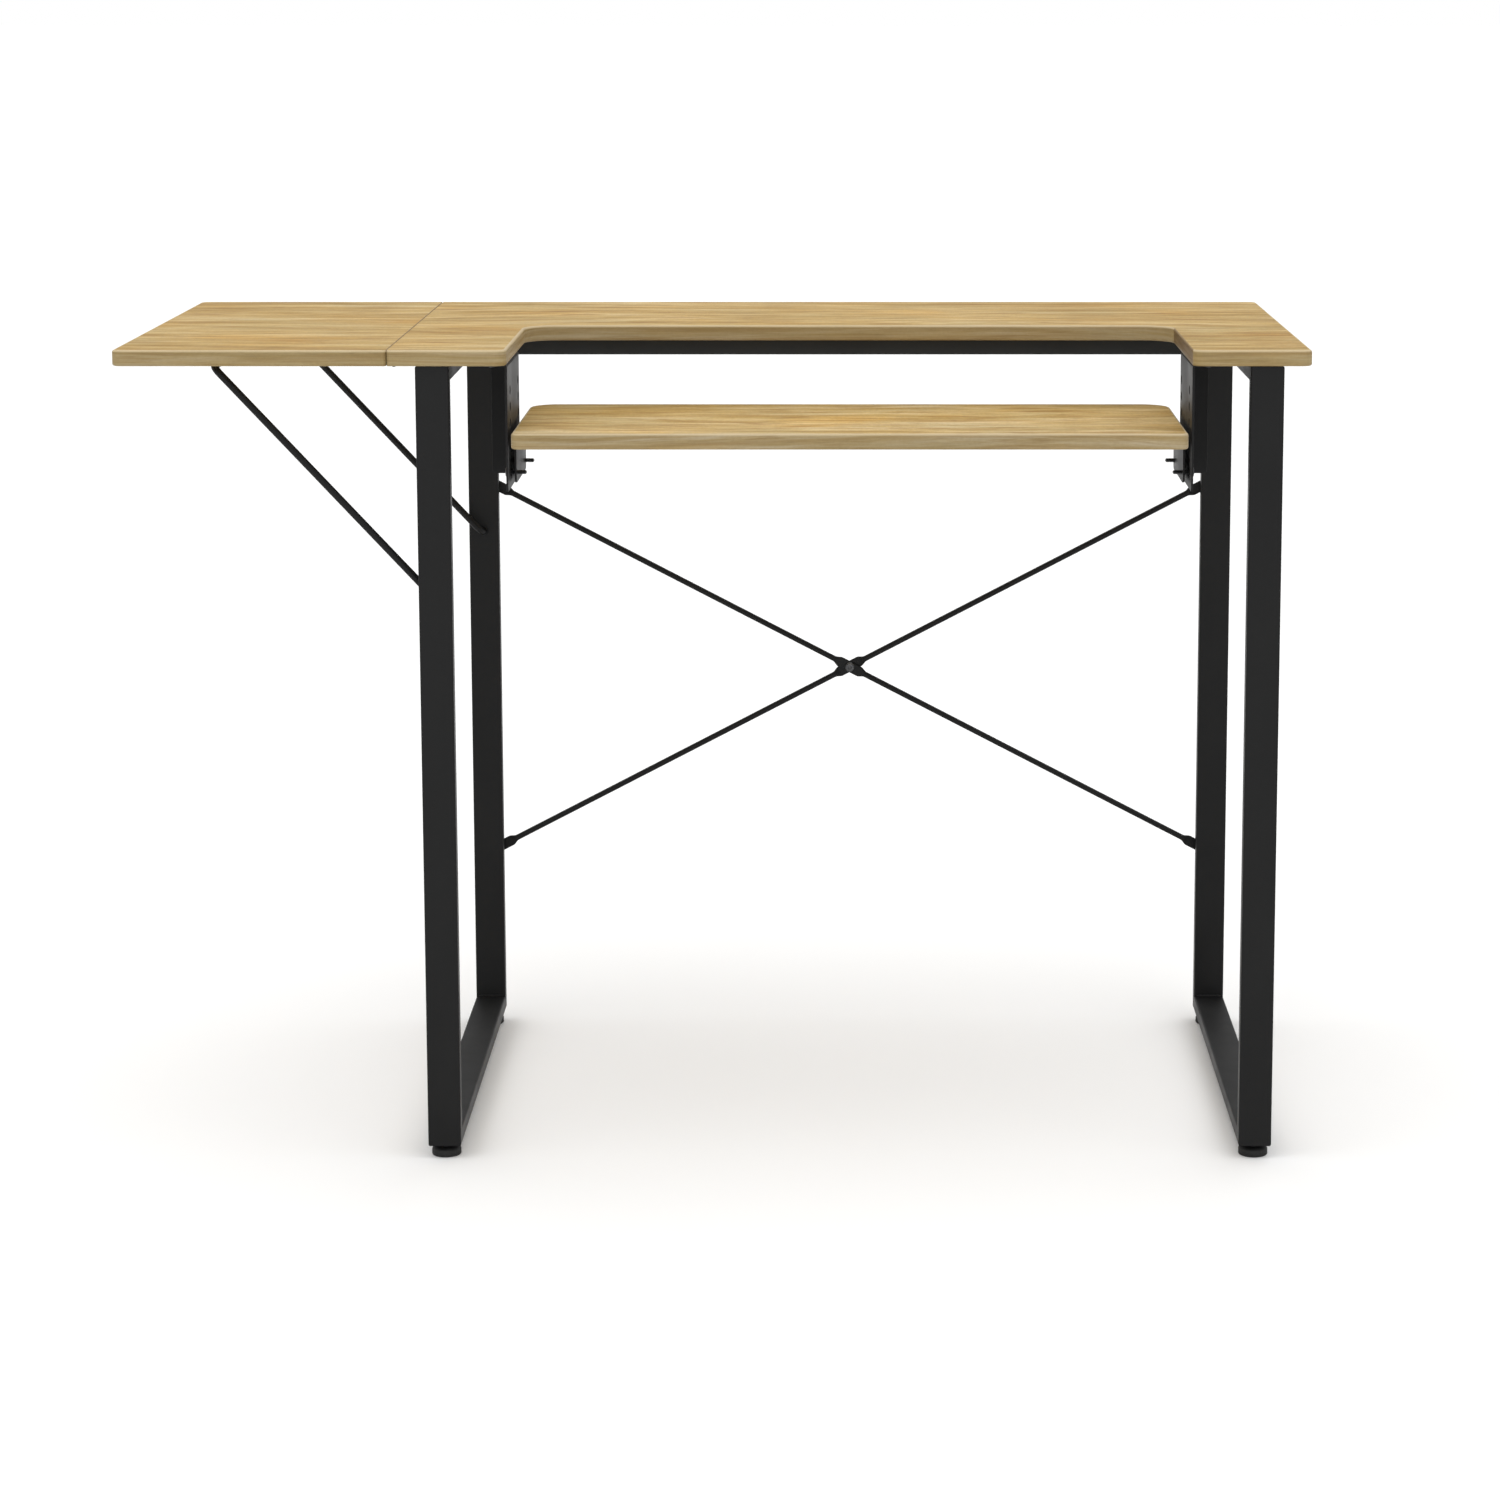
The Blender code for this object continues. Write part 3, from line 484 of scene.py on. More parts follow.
def fastener_finish():
    """Blackened zinc: a dark satin metal with rubbed spots."""
    zinc = Finish("blackened_fasteners", Metallic=0.85, Specular_IOR_Level=0.5)
    place = zinc.object_place()
    cloud = zinc.noise(place, scale=260.0, detail=3.0, roughness=0.6)
    rub = zinc.noise(place, scale=900.0, detail=2.0, roughness=0.6)
    colour = zinc.ramp(cloud, ZINC_TONES)
    zinc.set("Base Color", zinc.blend(zinc.step(rub, 0.60, 0.80, 0.0, 0.5), colour, RUBBED_ZINC))
    zinc.set("Roughness", zinc.step(rub, 0.3, 0.7, 0.34, 0.50))
    zinc.bump(rub, strength=0.15, distance=0.00005)
    return zinc.material


def pad_finish():
    """Matt black moulded pad with a fine grain."""
    pad = Finish("foot_pads", Specular_IOR_Level=0.35)
    place = pad.object_place()
    grain = pad.noise(place, scale=2400.0, detail=2.0, roughness=0.6)
    dust = pad.noise(place, scale=120.0, detail=4.0, roughness=0.6)
    pad.set("Base Color", pad.ramp(dust, PAD_TONES))
    pad.set("Roughness", pad.step(dust, 0.3, 0.7, 0.62, 0.78))
    pad.bump(grain, strength=0.35, distance=0.00012)
    return pad.material


def floor_finish():
    """Pale studio floor."""
    floor = Finish("studio_floor", Specular_IOR_Level=0.1)
    cloud = floor.noise(floor.object_place(), scale=0.8, detail=3.0)
    floor.set("Base Color", floor.ramp(cloud, FLOOR_TONES))
    floor.set("Roughness", floor.step(cloud, 0.3, 0.7, 0.80, 0.90))
    return floor.material


# Each finish of a piece is a material and the record's slot that it stands for
MAIN_WOOD = (wood_finish("oak_board_main", layer=0.0), "oak_board")
LEAF_WOOD = (wood_finish("oak_board_leaf", layer=11.0), "oak_board")
# The platform's wood is lighter, painted light against the main board's shade
SHELF_WOOD = (
    wood_finish("oak_board_platform", layer=23.0, pace=1.1, contrast=1.1, tint=SHELF_PAINTED_LIGHT_TINT),
    "oak_board",
)
STEEL = (powder_finish("powder_coated_steel", *STEEL_TONES), "powder_coated_steel")
ZINC = (fastener_finish(), "blackened_fasteners")
RUBBER = (pad_finish(), "foot_pads")
SLOT_MATERIALS = {slot: material for material, slot in (MAIN_WOOD, STEEL, ZINC, RUBBER)}
# The crossbar's coat is lighter as painted light against the shade under the boards
BAR_PAINTED_LIGHT_STEEL = powder_finish("powder_coated_crossbar_painted_light", *BAR_PAINTED_LIGHT_TONES, gloss=(0.86, 0.94))
FLOOR = floor_finish()


# ---------------------------------------------------------------- mesh helpers


def add_object(name, mesh, finish, body, nodes=(), place=None):
    """A visible piece that rides on a body and stands for the given CAD nodes."""
    material, slot = finish
    piece = bpy.data.objects.new(name, mesh)
    bpy.context.scene.collection.objects.link(piece)
    if place is not None:
        piece.matrix_world = place
    if not mesh.materials:
        mesh.materials.append(material)
    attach(piece, body)
    if nodes:
        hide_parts(*nodes)


def quarter_turns(steps):
    """The angles of a quarter turn cut into equal steps."""
    return [math.pi / 2 * step / steps for step in range(steps + 1)]


def arc_spokes(before, here, after, radius, steps):
    """The centre of the arc that rounds the corner at here, and unit spokes from it to the arc."""
    back = (before - here).normalized()
    ahead = (after - here).normalized()
    half = back.angle(ahead) / 2
    centre = here + (back + ahead).normalized() * radius / math.sin(half)
    reach = radius / math.tan(half)
    first = (here + back * reach - centre).normalized()
    last = (here + ahead * reach - centre).normalized()
    return centre, [first.slerp(last, step / steps) for step in range(steps + 1)]


def fillet(before, here, after, radius):
    """(point, outward normal) pairs of an arc that rounds a corner of a counter-clockwise outline."""
    centre, spokes = arc_spokes(before, here, after, radius, CORNER_STEPS)
    convex = -1 if (before - here).cross(after - here) > 0 else 1
    return [(centre + spoke * radius, spoke * convex) for spoke in spokes]


def rounded_outline(corners):
    """(point, normal) pairs of a counter-clockwise outline through (x, y, radius) corners."""
    spots = [Vector((x, y)) for x, y, _ in corners]
    outline = []
    for index, (_, _, radius) in enumerate(corners):
        outline += fillet(spots[index - 1], spots[index], spots[(index + 1) % len(spots)], radius)
    return outline


def lofted(rings):
    """Vertices and faces of a skin over equal rings, capped at its ends."""
    count = len(rings[0])
    vertices = [Vector(point) for ring in rings for point in ring]
    faces = []
    for low in range(0, len(vertices) - count, count):
        high = low + count
        for index in range(count):
            after = (index + 1) % count
            faces.append((low + index, low + after, high + after, high + index))
    faces.append(tuple(range(count)))
    faces.append(tuple(range(len(vertices) - count, len(vertices))))
    return vertices, faces


def merged(shapes):
    """Several separate shapes as one list of vertices and faces."""
    vertices = []
    faces = []
    for more_vertices, more_faces in shapes:
        shift = len(vertices)
        vertices += more_vertices
        faces += [tuple(index + shift for index in face) for face in more_faces]
    return vertices, faces


def prism(points, axis, low, high):
    """An outline in the plane across axis ("Y" or "Z"), extruded along it from low to high."""
    if axis == "Y":
        return lofted([[(a, level, b) for a, b in points] for level in (low, high)])
    return lofted([[(a, b, level) for a, b in points] for level in (low, high)])


def turned(profile, sides, modulate=None):
    """A solid turned about +Z from (radius, height) points.

    modulate(radius, height, angle) may change the radius.
    """
    rings = []
    for radius, height in profile:
        ring = []
        for index in range(sides):
            angle = 2 * math.pi * index / sides
            reach = modulate(radius, height, angle) if modulate else radius
            ring.append((reach * math.cos(angle), reach * math.sin(angle), height))
        rings.append(ring)
    return lofted(rings)


def solid_mesh(name, shape):
    """A closed mesh that faces out."""
    vertices, faces = shape
    mesh = bpy.data.meshes.new(name)
    mesh.from_pydata(vertices, [], faces)
    sculpt = bmesh.new()
    sculpt.from_mesh(mesh)
    bmesh.ops.recalc_face_normals(sculpt, faces=sculpt.faces)
    if sculpt.calc_volume(signed=True) < 0:
        bmesh.ops.reverse_faces(sculpt, faces=sculpt.faces)
    sculpt.to_mesh(mesh)
    sculpt.free()
    return mesh


def combined(mesh, tools, operation):
    """The mesh after Booleans with the tool meshes, which are used up."""
    target = bpy.data.objects.new(mesh.name, mesh)
    bpy.context.scene.collection.objects.link(target)
    helpers = []
    for tool in tools:
        helper = bpy.data.objects.new(tool.name, tool)
        bpy.context.scene.collection.objects.link(helper)
        boolean = target.modifiers.new(operation, "BOOLEAN")
        boolean.operation = operation
        boolean.solver = "EXACT"
        boolean.object = helper
        helpers.append(helper)
    graph = bpy.context.evaluated_depsgraph_get()
    made = bpy.data.meshes.new_from_object(target.evaluated_get(graph))
    made.name = mesh.name
    for used in [target, *helpers]:
        data = used.data
        bpy.data.objects.remove(used)
        bpy.data.meshes.remove(data)
    return made


def smooth_shaded(mesh, angle=35):
    """Smooth shading, creased above angle degrees, with normals weighted to keep flat faces flat."""
    mesh.shade_smooth()
    mesh.set_sharp_from_angle(angle=math.radians(angle))
    holder = bpy.data.objects.new(mesh.name, mesh)
    bpy.context.scene.collection.objects.link(holder)
    holder.modifiers.new("weights", "WEIGHTED_NORMAL").keep_sharp = True
    graph = bpy.context.evaluated_depsgraph_get()
    made = bpy.data.meshes.new_from_object(holder.evaluated_get(graph))
    name = mesh.name
    bpy.data.objects.remove(holder)
    bpy.data.meshes.remove(mesh)
    made.name = name
    return made


def standing(origin, axis):
    """The matrix that puts a shape's +Z along axis, from origin."""
    return Matrix.Translation(origin) @ Vector(axis).to_track_quat("Z", "Y").to_matrix().to_4x4()


def board_levels(low, high):
    """(inset, height, outward share, upward share) of each ring round a board with rounded long edges."""
    levels = []
    for turn in quarter_turns(ROUND_STEPS):
        inset = BOTTOM_ROUND * (1 - math.sin(turn))
        rise = low + BOTTOM_ROUND * (1 - math.cos(turn))
        levels.append((inset, rise, math.sin(turn), -math.cos(turn)))
    for turn in quarter_turns(ROUND_STEPS):
        inset = TOP_ROUND * (1 - math.cos(turn))
        rise = high - TOP_ROUND * (1 - math.sin(turn))
        levels.append((inset, rise, math.cos(turn), math.sin(turn)))
    return levels


def board_skin(outline, levels, seam):
    """Vertices and their normals, ring by ring. The side that faces the seam is sharper and stands closer."""
    vertices = []
    normals = []
    for inset, rise, outward, upward in levels:
        for point, normal in outline:
            facing = max(0.0, normal.x * seam)
            spot = point - normal * inset * (1 - (1 - SEAM_ROUND) * facing)
            spot.x += SEAM_REACH * seam * facing
            vertices.append((spot.x, spot.y, rise))
            normals.append((normal.x * outward, normal.y * outward, upward))
    return vertices, normals


def running_lengths(points):
    """The length travelled at each point of a polyline."""
    lengths = [0.0]
    for here, after in zip(points, points[1:]):
        lengths.append(lengths[-1] + (after - here).length)
    return lengths


def board_mesh(name, corners, low, high, seam):
    """A board with a grain attribute that wraps the print round its edge.

    seam is the X direction of the side that meets the other board, or 0.
    """
    outline = rounded_outline(corners)
    count = len(outline)
    levels = board_levels(low, high)
    vertices, normals = board_skin(outline, levels, seam)
    lengths = running_lengths([point for point, _ in outline] + [outline[0][0]])
    heights = running_lengths([Vector((inset, rise)) for inset, rise, *_ in levels])
    in_seam = [normal.x * seam > SEAM_FACING for _, normal in outline]

    faces = []
    grain = []
    for level in range(len(levels) - 1):
        low_ring = level * count
        high_ring = low_ring + count
        for index in range(count):
            after = (index + 1) % count
            faces.append((low_ring + index, low_ring + after, high_ring + after, high_ring + index))
            layer = SEAM_LAYER if in_seam[index] and in_seam[after] else EDGE_LAYER
            for u, v in ((index, level), (index + 1, level), (index + 1, level + 1), (index, level + 1)):
                grain.append((lengths[u], EDGE_START + EDGE_STRETCH * heights[v], layer))
    bottom = tuple(reversed(range(count)))
    top = tuple(range(len(vertices) - count, len(vertices)))
    faces += [bottom, top]
    for cap, layer in ((bottom, UNDER_LAYER), (top, TOP_LAYER)):
        grain += [(vertices[index][0], vertices[index][1], layer) for index in cap]

    mesh = bpy.data.meshes.new(name)
    mesh.from_pydata(vertices, [], faces)
    mesh.shade_smooth()
    attribute = mesh.attributes.new("grain", "FLOAT_VECTOR", "CORNER")
    attribute.data.foreach_set("vector", [number for spot in grain for number in spot])
    mesh.normals_split_custom_set_from_vertices(normals)
    return mesh


def rectangle(low, high, *radii):
    """(x, y, radius) corners of a box seen from above, counter-clockwise from its front left."""
    spots = ((low.x, low.y), (high.x, low.y), (high.x, high.y), (low.x, high.y))
    return [(*spot, radius) for spot, radius in zip(spots, radii)]


def add_boards():
    """The main board with its notch, the leaf and the machine platform."""
    notch_left = MIDDLE_X - NOTCH_HALF_WIDTH
    notch_right = MIDDLE_X + NOTCH_HALF_WIDTH
    notch_rear = MAIN_LOW.y + NOTCH_DEPTH
    main = rectangle(MAIN_LOW, MAIN_HIGH, SEAM_CORNER, BOARD_CORNER, BOARD_CORNER, SEAM_CORNER)
    main[1:1] = [
        (notch_left, MAIN_LOW.y, NOTCH_LIP),
        (notch_left, notch_rear, NOTCH_CORNER),
        (notch_right, notch_rear, NOTCH_CORNER),
        (notch_right, MAIN_LOW.y, NOTCH_LIP),
    ]
    leaf = rectangle(LEAF_LOW, LEAF_HIGH, BOARD_CORNER, SEAM_CORNER, SEAM_CORNER, BOARD_CORNER)
    shelf_corners = (SHELF_FRONT_CORNER, SHELF_FRONT_CORNER, SHELF_REAR_CORNER, SHELF_REAR_CORNER)
    shelf = rectangle(SHELF_LOW, SHELF_HIGH, *shelf_corners)
    for name, corners, low, high, seam, finish, body, node in (
        ("main_board", main, MAIN_LOW, MAIN_HIGH, -1, MAIN_WOOD, "frame", "main_top"),
        ("leaf_board", leaf, LEAF_LOW, LEAF_HIGH, 1, LEAF_WOOD, "leaf", "side_leaf"),
        ("platform_board", shelf, SHELF_LOW, SHELF_HIGH, 0, SHELF_WOOD, "platform", "machine_platform"),
    ):
        add_object(name, board_mesh(name, corners, low.z, high.z, seam), finish, body, [node])


# ---------------------------------------------------------------- screws, bolts and nuts


def hexagon(radius):
    """The corners of a hexagon round the origin."""
    return [(radius * math.cos(math.pi / 3 * k), radius * math.sin(math.pi / 3 * k)) for k in range(6)]


def recess(kind, radius, depth, top):
    """Cutters for a cross or hexagon recess in a head whose top is at this height."""
    if kind == "hex":
        return [solid_mesh("recess", prism(hexagon(radius), "Z", top - depth, top + RECESS_OVERLAP))]
    tools = []
    for turn in (0.0, math.pi / 2):
        across = Vector((math.cos(turn), math.sin(turn)))
        along = Vector((-math.sin(turn), math.cos(turn)))
        rings = []
        for level, (reach, width) in ((top - depth, CROSS_BOTTOM), (top + CROSS_OVERLAP, CROSS_MOUTH)):
            corners = ((-reach, -width), (reach, -width), (reach, width), (-reach, width))
            spots = [(across * a + along * b) * radius for a, b in corners]
            rings.append([(spot.x, spot.y, level) for spot in spots])
        tools.append(solid_mesh("recess", lofted(rings)))
    return tools


def head_profile(radius, height, upright):
    """(radius, height) points down a domed head, the lowest share of it upright."""
    top = height * HEAD_CROWN
    points = [(radius * 0.45, height), (radius * HEAD_FLAT, top)]
    for turn in quarter_turns(HEAD_STEPS)[1:]:
        reach = radius * (HEAD_FLAT + (1 - HEAD_FLAT) * math.sin(turn))
        points.append((reach, height * (upright + (HEAD_CROWN - upright) * math.cos(turn))))
    return points + [(radius, height * 0.12), (radius * 0.97, 0.0)]


def screw_mesh(name, head, shank, kind="cross"):
    """A threaded screw along +Z, with the underside of its head at zero.

    head is (radius, height, upright share) and shank is (radius, length, pitch, tip length).
    """
    head_radius, head_height, upright = head
    radius, length, pitch, tip = shank
    profile = head_profile(head_radius, head_height, upright)
    profile.append((radius * 1.02, 0.0))
    steps = max(2, round(length / (pitch / THREAD_CUTS)))
    profile += [(radius, -length * step / steps) for step in range(1, steps + 1)]

    def threaded(reach, height, angle):
        if height > -SMOOTH_SHANK:
            return reach
        taper = min(1.0, (length + height) / tip) if tip else 1.0
        phase = (height / pitch + angle / (2 * math.pi)) % 1.0
        groove = 2 * THREAD_DEPTH * radius * (1 - abs(2 * phase - 1))
        return max((reach - groove) * (TIP_SHARE + (1 - TIP_SHARE) * taper), radius * 0.08)

    body = solid_mesh(name, turned(profile, SCREW_SIDES, threaded))
    size = head_radius * RECESS_SHARE[kind]
    made = combined(body, recess(kind, size, head_height * RECESS_DEPTH, head_height), "DIFFERENCE")
    return smooth_shaded(made, 38)


def chamfered_hexagon(name, radius, low, high, flat, chamfer):
    """A hexagon prism along Z whose corners are turned down to the radius flat at both faces."""
    over = 0.0001
    cone = [
        (flat, low - over),
        (radius + over, low + chamfer),
        (radius + over, high - chamfer),
        (flat, high + over),
    ]
    body = solid_mesh(name, prism(hexagon(radius), "Z", low, high))
    return combined(body, [solid_mesh("chamfer", turned(cone, CUTTER_SIDES))], "INTERSECT")


def nut_mesh(name, radius, height, bore):
    """A hexagon nut along +Z from zero, chamfered on both faces, with a countersunk bore."""
    chamfer = height * 0.16
    lead = height * 0.15
    mouth = bore + 0.0006
    over = 0.001
    body = chamfered_hexagon(name, radius, 0.0, height, radius * 0.88, chamfer)
    hole = [(mouth, -over), (bore, lead), (bore, height - lead), (mouth, height + over)]
    body = combined(body, [solid_mesh("bore", turned(hole, BORE_SIDES))], "DIFFERENCE")
    return smooth_shaded(body, 30)


def place_screws(prefix, mesh, spots, axis, body, nodes=()):
    """One screw at each named spot, its head towards axis. Only a single screw stands for CAD nodes."""
    for label, spot in spots:
        add_object(f"{prefix}_{label}", mesh, ZINC, body, nodes, standing(spot, axis))


# ---------------------------------------------------------------- steelwork


def rod_along(route, radius, normal):
    """Rings of a round rod that follows a route lying in the plane across normal."""
    rings = []
    for index, spot in enumerate(route):
        ahead = route[min(index + 1, len(route) - 1)] - route[max(index - 1, 0)]
        sideways = ahead.cross(normal).normalized()
        ring = []
        for step in range(ROD_SIDES):
            angle = 2 * math.pi * step / ROD_SIDES
            ring.append(spot + (sideways * math.cos(angle) + normal * math.sin(angle)) * radius)
        rings.append(ring)
    return rings


def add_leaf_brace():
    """The U-shaped prop: two arms, a bar under the leaf, and ends turned outward into the left legs."""
    low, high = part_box("leaf_brace")
    bar = Vector((low.x + BRACE_RADIUS, 0, high.z - BRACE_RADIUS))
    pivot = Vector((centre_of("left_front_leg").x, 0, low.z + BRACE_RADIUS))
    across = Vector((0, 1, 0))
    leg_ys = (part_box("left_front_leg")[1].y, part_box("left_rear_leg")[0].y)
    arm_ys = (leg_ys[0] + BRACE_ARM_GAP, leg_ys[1] - BRACE_ARM_GAP)
    corners = [
        pivot + across * low.y,
        pivot + across * arm_ys[0],
        bar + across * arm_ys[0],
        bar + across * arm_ys[1],
        pivot + across * arm_ys[1],
        pivot + across * high.y,
    ]
    tip_places = (BRACE_TIP, BRACE_TIP + BRACE_TIP_RING)
    route = [corners[0] + across * place for place in tip_places]
    for before, here, after in zip(corners, corners[1:], corners[2:]):
        centre, spokes = arc_spokes(before, here, after, BRACE_BEND, BRACE_BEND_STEPS)
        route += [centre + spoke * BRACE_BEND for spoke in spokes]
    route += [corners[-1] - across * place for place in reversed(tip_places)]

    normal = (bar - pivot).cross(across).normalized()
    rings = rod_along(route, BRACE_RADIUS, normal)
    for end, tip in ((0, corners[0]), (-1, corners[-1])):
        rings[end] = [tip + (point - route[end]) * BRACE_TIP_SHRINK for point in rings[end]]
    mesh = smooth_shaded(solid_mesh("leaf_prop", lofted(rings)))
    add_object("leaf_prop", mesh, STEEL, "brace", ["leaf_brace"])


def eased(share):
    """A share from 0 to 1 with a soft start and end."""
    return share * share * (3 - 2 * share)


def section(blend):
    """(half width, half thickness, corner power) of a cross rod, from round at 0 to pressed flat at 1."""
    start = (CROSS_RADIUS, CROSS_RADIUS, 1.0)
    end = (CROSS_FLAT_WIDTH, CROSS_FLAT_THICKNESS, 0.4)
    return tuple(a + (b - a) * eased(blend) for a, b in zip(start, end))


def cross_rod_rings(low, high, shift):
    """Rings of a rod pressed flat with round noses at its ends, and flat again where it crosses the other."""
    along = (high - low).normalized()
    across = along.cross(Vector((0, 1, 0))).normalized()
    length = (high - low).length
    nose_width, thickness, power = section(1.0)
    stations = []
    for step in range(CROSS_NOSE_STEPS + 1):
        turn = math.pi / 2 * (step + CROSS_NOSE_START) / (CROSS_NOSE_STEPS + CROSS_NOSE_START)
        width = nose_width * (0.10 + 0.90 * math.sin(turn))
        stations.append((-CROSS_TIP * math.cos(turn), (width, thickness, power), 0.0))
    shares = [step / CROSS_BLEND_STEPS for step in range(CROSS_BLEND_STEPS + 1)]
    for share in shares:
        stations.append((CROSS_END_FLAT + CROSS_BLEND * share, section(1 - share), 0.0))
    for share in shares:
        place = length / 2 - CROSS_MIDDLE_FLAT - CROSS_BLEND * (1 - share)
        stations.append((place, section(share), shift * eased(share)))
    stations += [(length - place, shape, bend) for place, shape, bend in reversed(stations)]

    rings = []
    for place, (half_width, half_thickness, corner), bend in stations:
        centre = low + along * place + Vector((0, bend, 0))
        ring = []
        for index in range(ROD_SIDES):
            angle = 2 * math.pi * (index + 0.5) / ROD_SIDES
            u = math.copysign(abs(math.cos(angle)) ** corner, math.cos(angle))
            v = math.copysign(abs(math.sin(angle)) ** corner, math.sin(angle))
            ring.append(centre + across * half_width * u + Vector((0, half_thickness * v, 0)))
        rings.append(ring)
    return rings


def add_cross_brace():
    """Two crossed rods behind the rear legs, with their screws, bolt and nut."""
    heights = {level: centre_of(f"left_{level}_cross_screw").z for level in ("top", "bottom")}
    leg_xs = {side: centre_of(f"{side}_rear_leg").x for side in SIDES}
    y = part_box("left_rear_leg")[1].y + CROSS_LEG_GAP + CROSS_FLAT_THICKNESS
    shift = CROSS_FLAT_THICKNESS + CROSS_ROD_GAP
    for name, falls_to, bend in (("front", "right", -shift), ("rear", "left", shift)):
        ends = [Vector((leg_xs[side], y, heights["bottom" if side == falls_to else "top"])) for side in SIDES]
        mesh = smooth_shaded(solid_mesh(f"brace_rod_{name}", lofted(cross_rod_rings(*ends, bend))), 50)
        add_object(f"brace_rod_{name}", mesh, STEEL, "frame", [f"cross_rod_{name}"])

    screw = screw_mesh("cross_screw", CROSS_HEAD, CROSS_SHANK)
    seat = y + CROSS_FLAT_THICKNESS + SCREW_GAP
    for side in SIDES:
        for level in heights:
            spot = (leg_xs[side], seat, heights[level])
            node = f"{side}_{level}_cross_screw"
            place_screws(f"{side}_{level}", screw, [("brace_screw", spot)], (0, 1, 0), "frame", [node])

    middle = Vector((MIDDLE_X, y, (heights["top"] + heights["bottom"]) / 2))
    stack = Vector((0, shift + CROSS_FLAT_THICKNESS + SCREW_GAP, 0))
    radius, _, pitch, _ = CROSS_SHANK
    bolt = screw_mesh("cross_bolt", CROSS_HEAD, (radius, 2 * stack.y + CROSS_BOLT_REACH, pitch, 0.0), "hex")
    place_screws("brace", bolt, [("bolt", middle - stack)], (0, -1, 0), "frame", ["cross_bolt"])
    nut = nut_mesh("cross_nut", *CROSS_NUT)
    place_screws("brace", nut, [("nut", middle + stack)], (0, 1, 0), "frame", ["cross_nut"])


# ---------------------------------------------------------------- sheet metal


def across_at(side, distance):
    """The X of a place this far from the main board's middle, on that side."""
    return MIDDLE_X + SIDES[side] * distance


def distances_across(node):
    """The nearer and the farther X distance of a CAD node from the main board's middle."""
    return sorted(abs(corner.x - MIDDLE_X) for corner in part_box(node))


def bend_arc(corner, along, out, radius):
    """Points of a quarter bend of sheet, from the leg that runs along to the one that runs out."""
    centre = corner + (along + out) * radius
    return [
        centre - out * radius * math.cos(turn) - along * radius * math.sin(turn)
        for turn in quarter_turns(BEND_STEPS)
    ]


def folded_outline(side, start, corner, tip):
    """An L-shaped outline of bent sheet on that side, from start round the outer corner to tip.

    Its points are (distance from the middle, second axis), and come back as (X, second axis).
    """
    start, bend, end = Vector(start), Vector(corner), Vector(tip)
    along = (start - bend).normalized()
    out = (end - bend).normalized()
    outer_arc = bend_arc(bend, along, out, BEND_OUTER)
    inner_arc = bend_arc(bend + (along + out) * SHEET, along, out, BEND_OUTER - SHEET)
    points = [start, *outer_arc, end, end + along * SHEET, *reversed(inner_arc), start + out * SHEET]
    return [(across_at(side, point.x), point.y) for point in points]


def edges_at(axis, level, runs):
    """Picks edges at this level of one axis that run along another."""
    return lambda at, way: abs(getattr(way, runs)) > 0.9 and abs(getattr(at, axis) - level) < LEVEL_TOLERANCE


def rounded_edges(mesh, picked, radius):
    """Rounds the edges that picked(middle, direction) chooses."""
    sculpt = bmesh.new()
    sculpt.from_mesh(mesh)
    chosen = []
    for edge in sculpt.edges:
        first, last = (vertex.co for vertex in edge.verts)
        if picked((first + last) / 2, (last - first).normalized()):
            chosen.append(edge)
    bmesh.ops.bevel(sculpt, geom=chosen, offset=radius, segments=BEND_STEPS, profile=0.5, affect="EDGES")
    sculpt.to_mesh(mesh)
    sculpt.free()


def is_hard(edge):
    return len(edge.link_faces) == 2 and edge.calc_face_angle() > HARD_ANGLE


def softened(mesh):
    """The mesh with its needless edges dissolved and its hard edges rounded a little."""
    sculpt = bmesh.new()
    sculpt.from_mesh(mesh)
    bmesh.ops.remove_doubles(sculpt, verts=sculpt.verts, dist=1e-6)
    bmesh.ops.dissolve_limit(sculpt, angle_limit=math.radians(1), verts=sculpt.verts, edges=sculpt.edges)
    bmesh.ops.bevel(
        sculpt,
        geom=[edge for edge in sculpt.edges if is_hard(edge)],
        offset=SHEET_EDGE_ROUND,
        segments=2,
        profile=0.5,
        affect="EDGES",
        clamp_overlap=True,
    )
    sculpt.to_mesh(mesh)
    sculpt.free()
    return mesh


def hole_cutters(spots, axis, radius):
    """Cutters for holes with softened rims through the sheet, each starting at a face of it."""
    over = 0.001
    mouth = radius + RIM_CHAMFER + over
    profile = [(mouth, -over), (radius, RIM_CHAMFER), (radius, SHEET - RIM_CHAMFER), (mouth, SHEET + over)]
    tools = []
    for spot in spots:
        tool = solid_mesh("hole", turned(profile, HOLE_SIDES))
        tool.transform(standing(spot, axis))
        tools.append(tool)
    return tools


def place_flange_screws(prefix, screw, node, distance, shifts, body):
    """Screws up through the top flange of a CAD bracket, in a row along Y about its middle."""
    side = prefix.split("_")[0]
    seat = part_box(node)[1].z - SHEET
    spots = []
    for index, shift in enumerate(shifts):
        spots.append((f"screw_{index}", (across_at(side, distance), centre_of(node).y + shift, seat)))
    place_screws(prefix, screw, spots, (0, 0, -1), body)


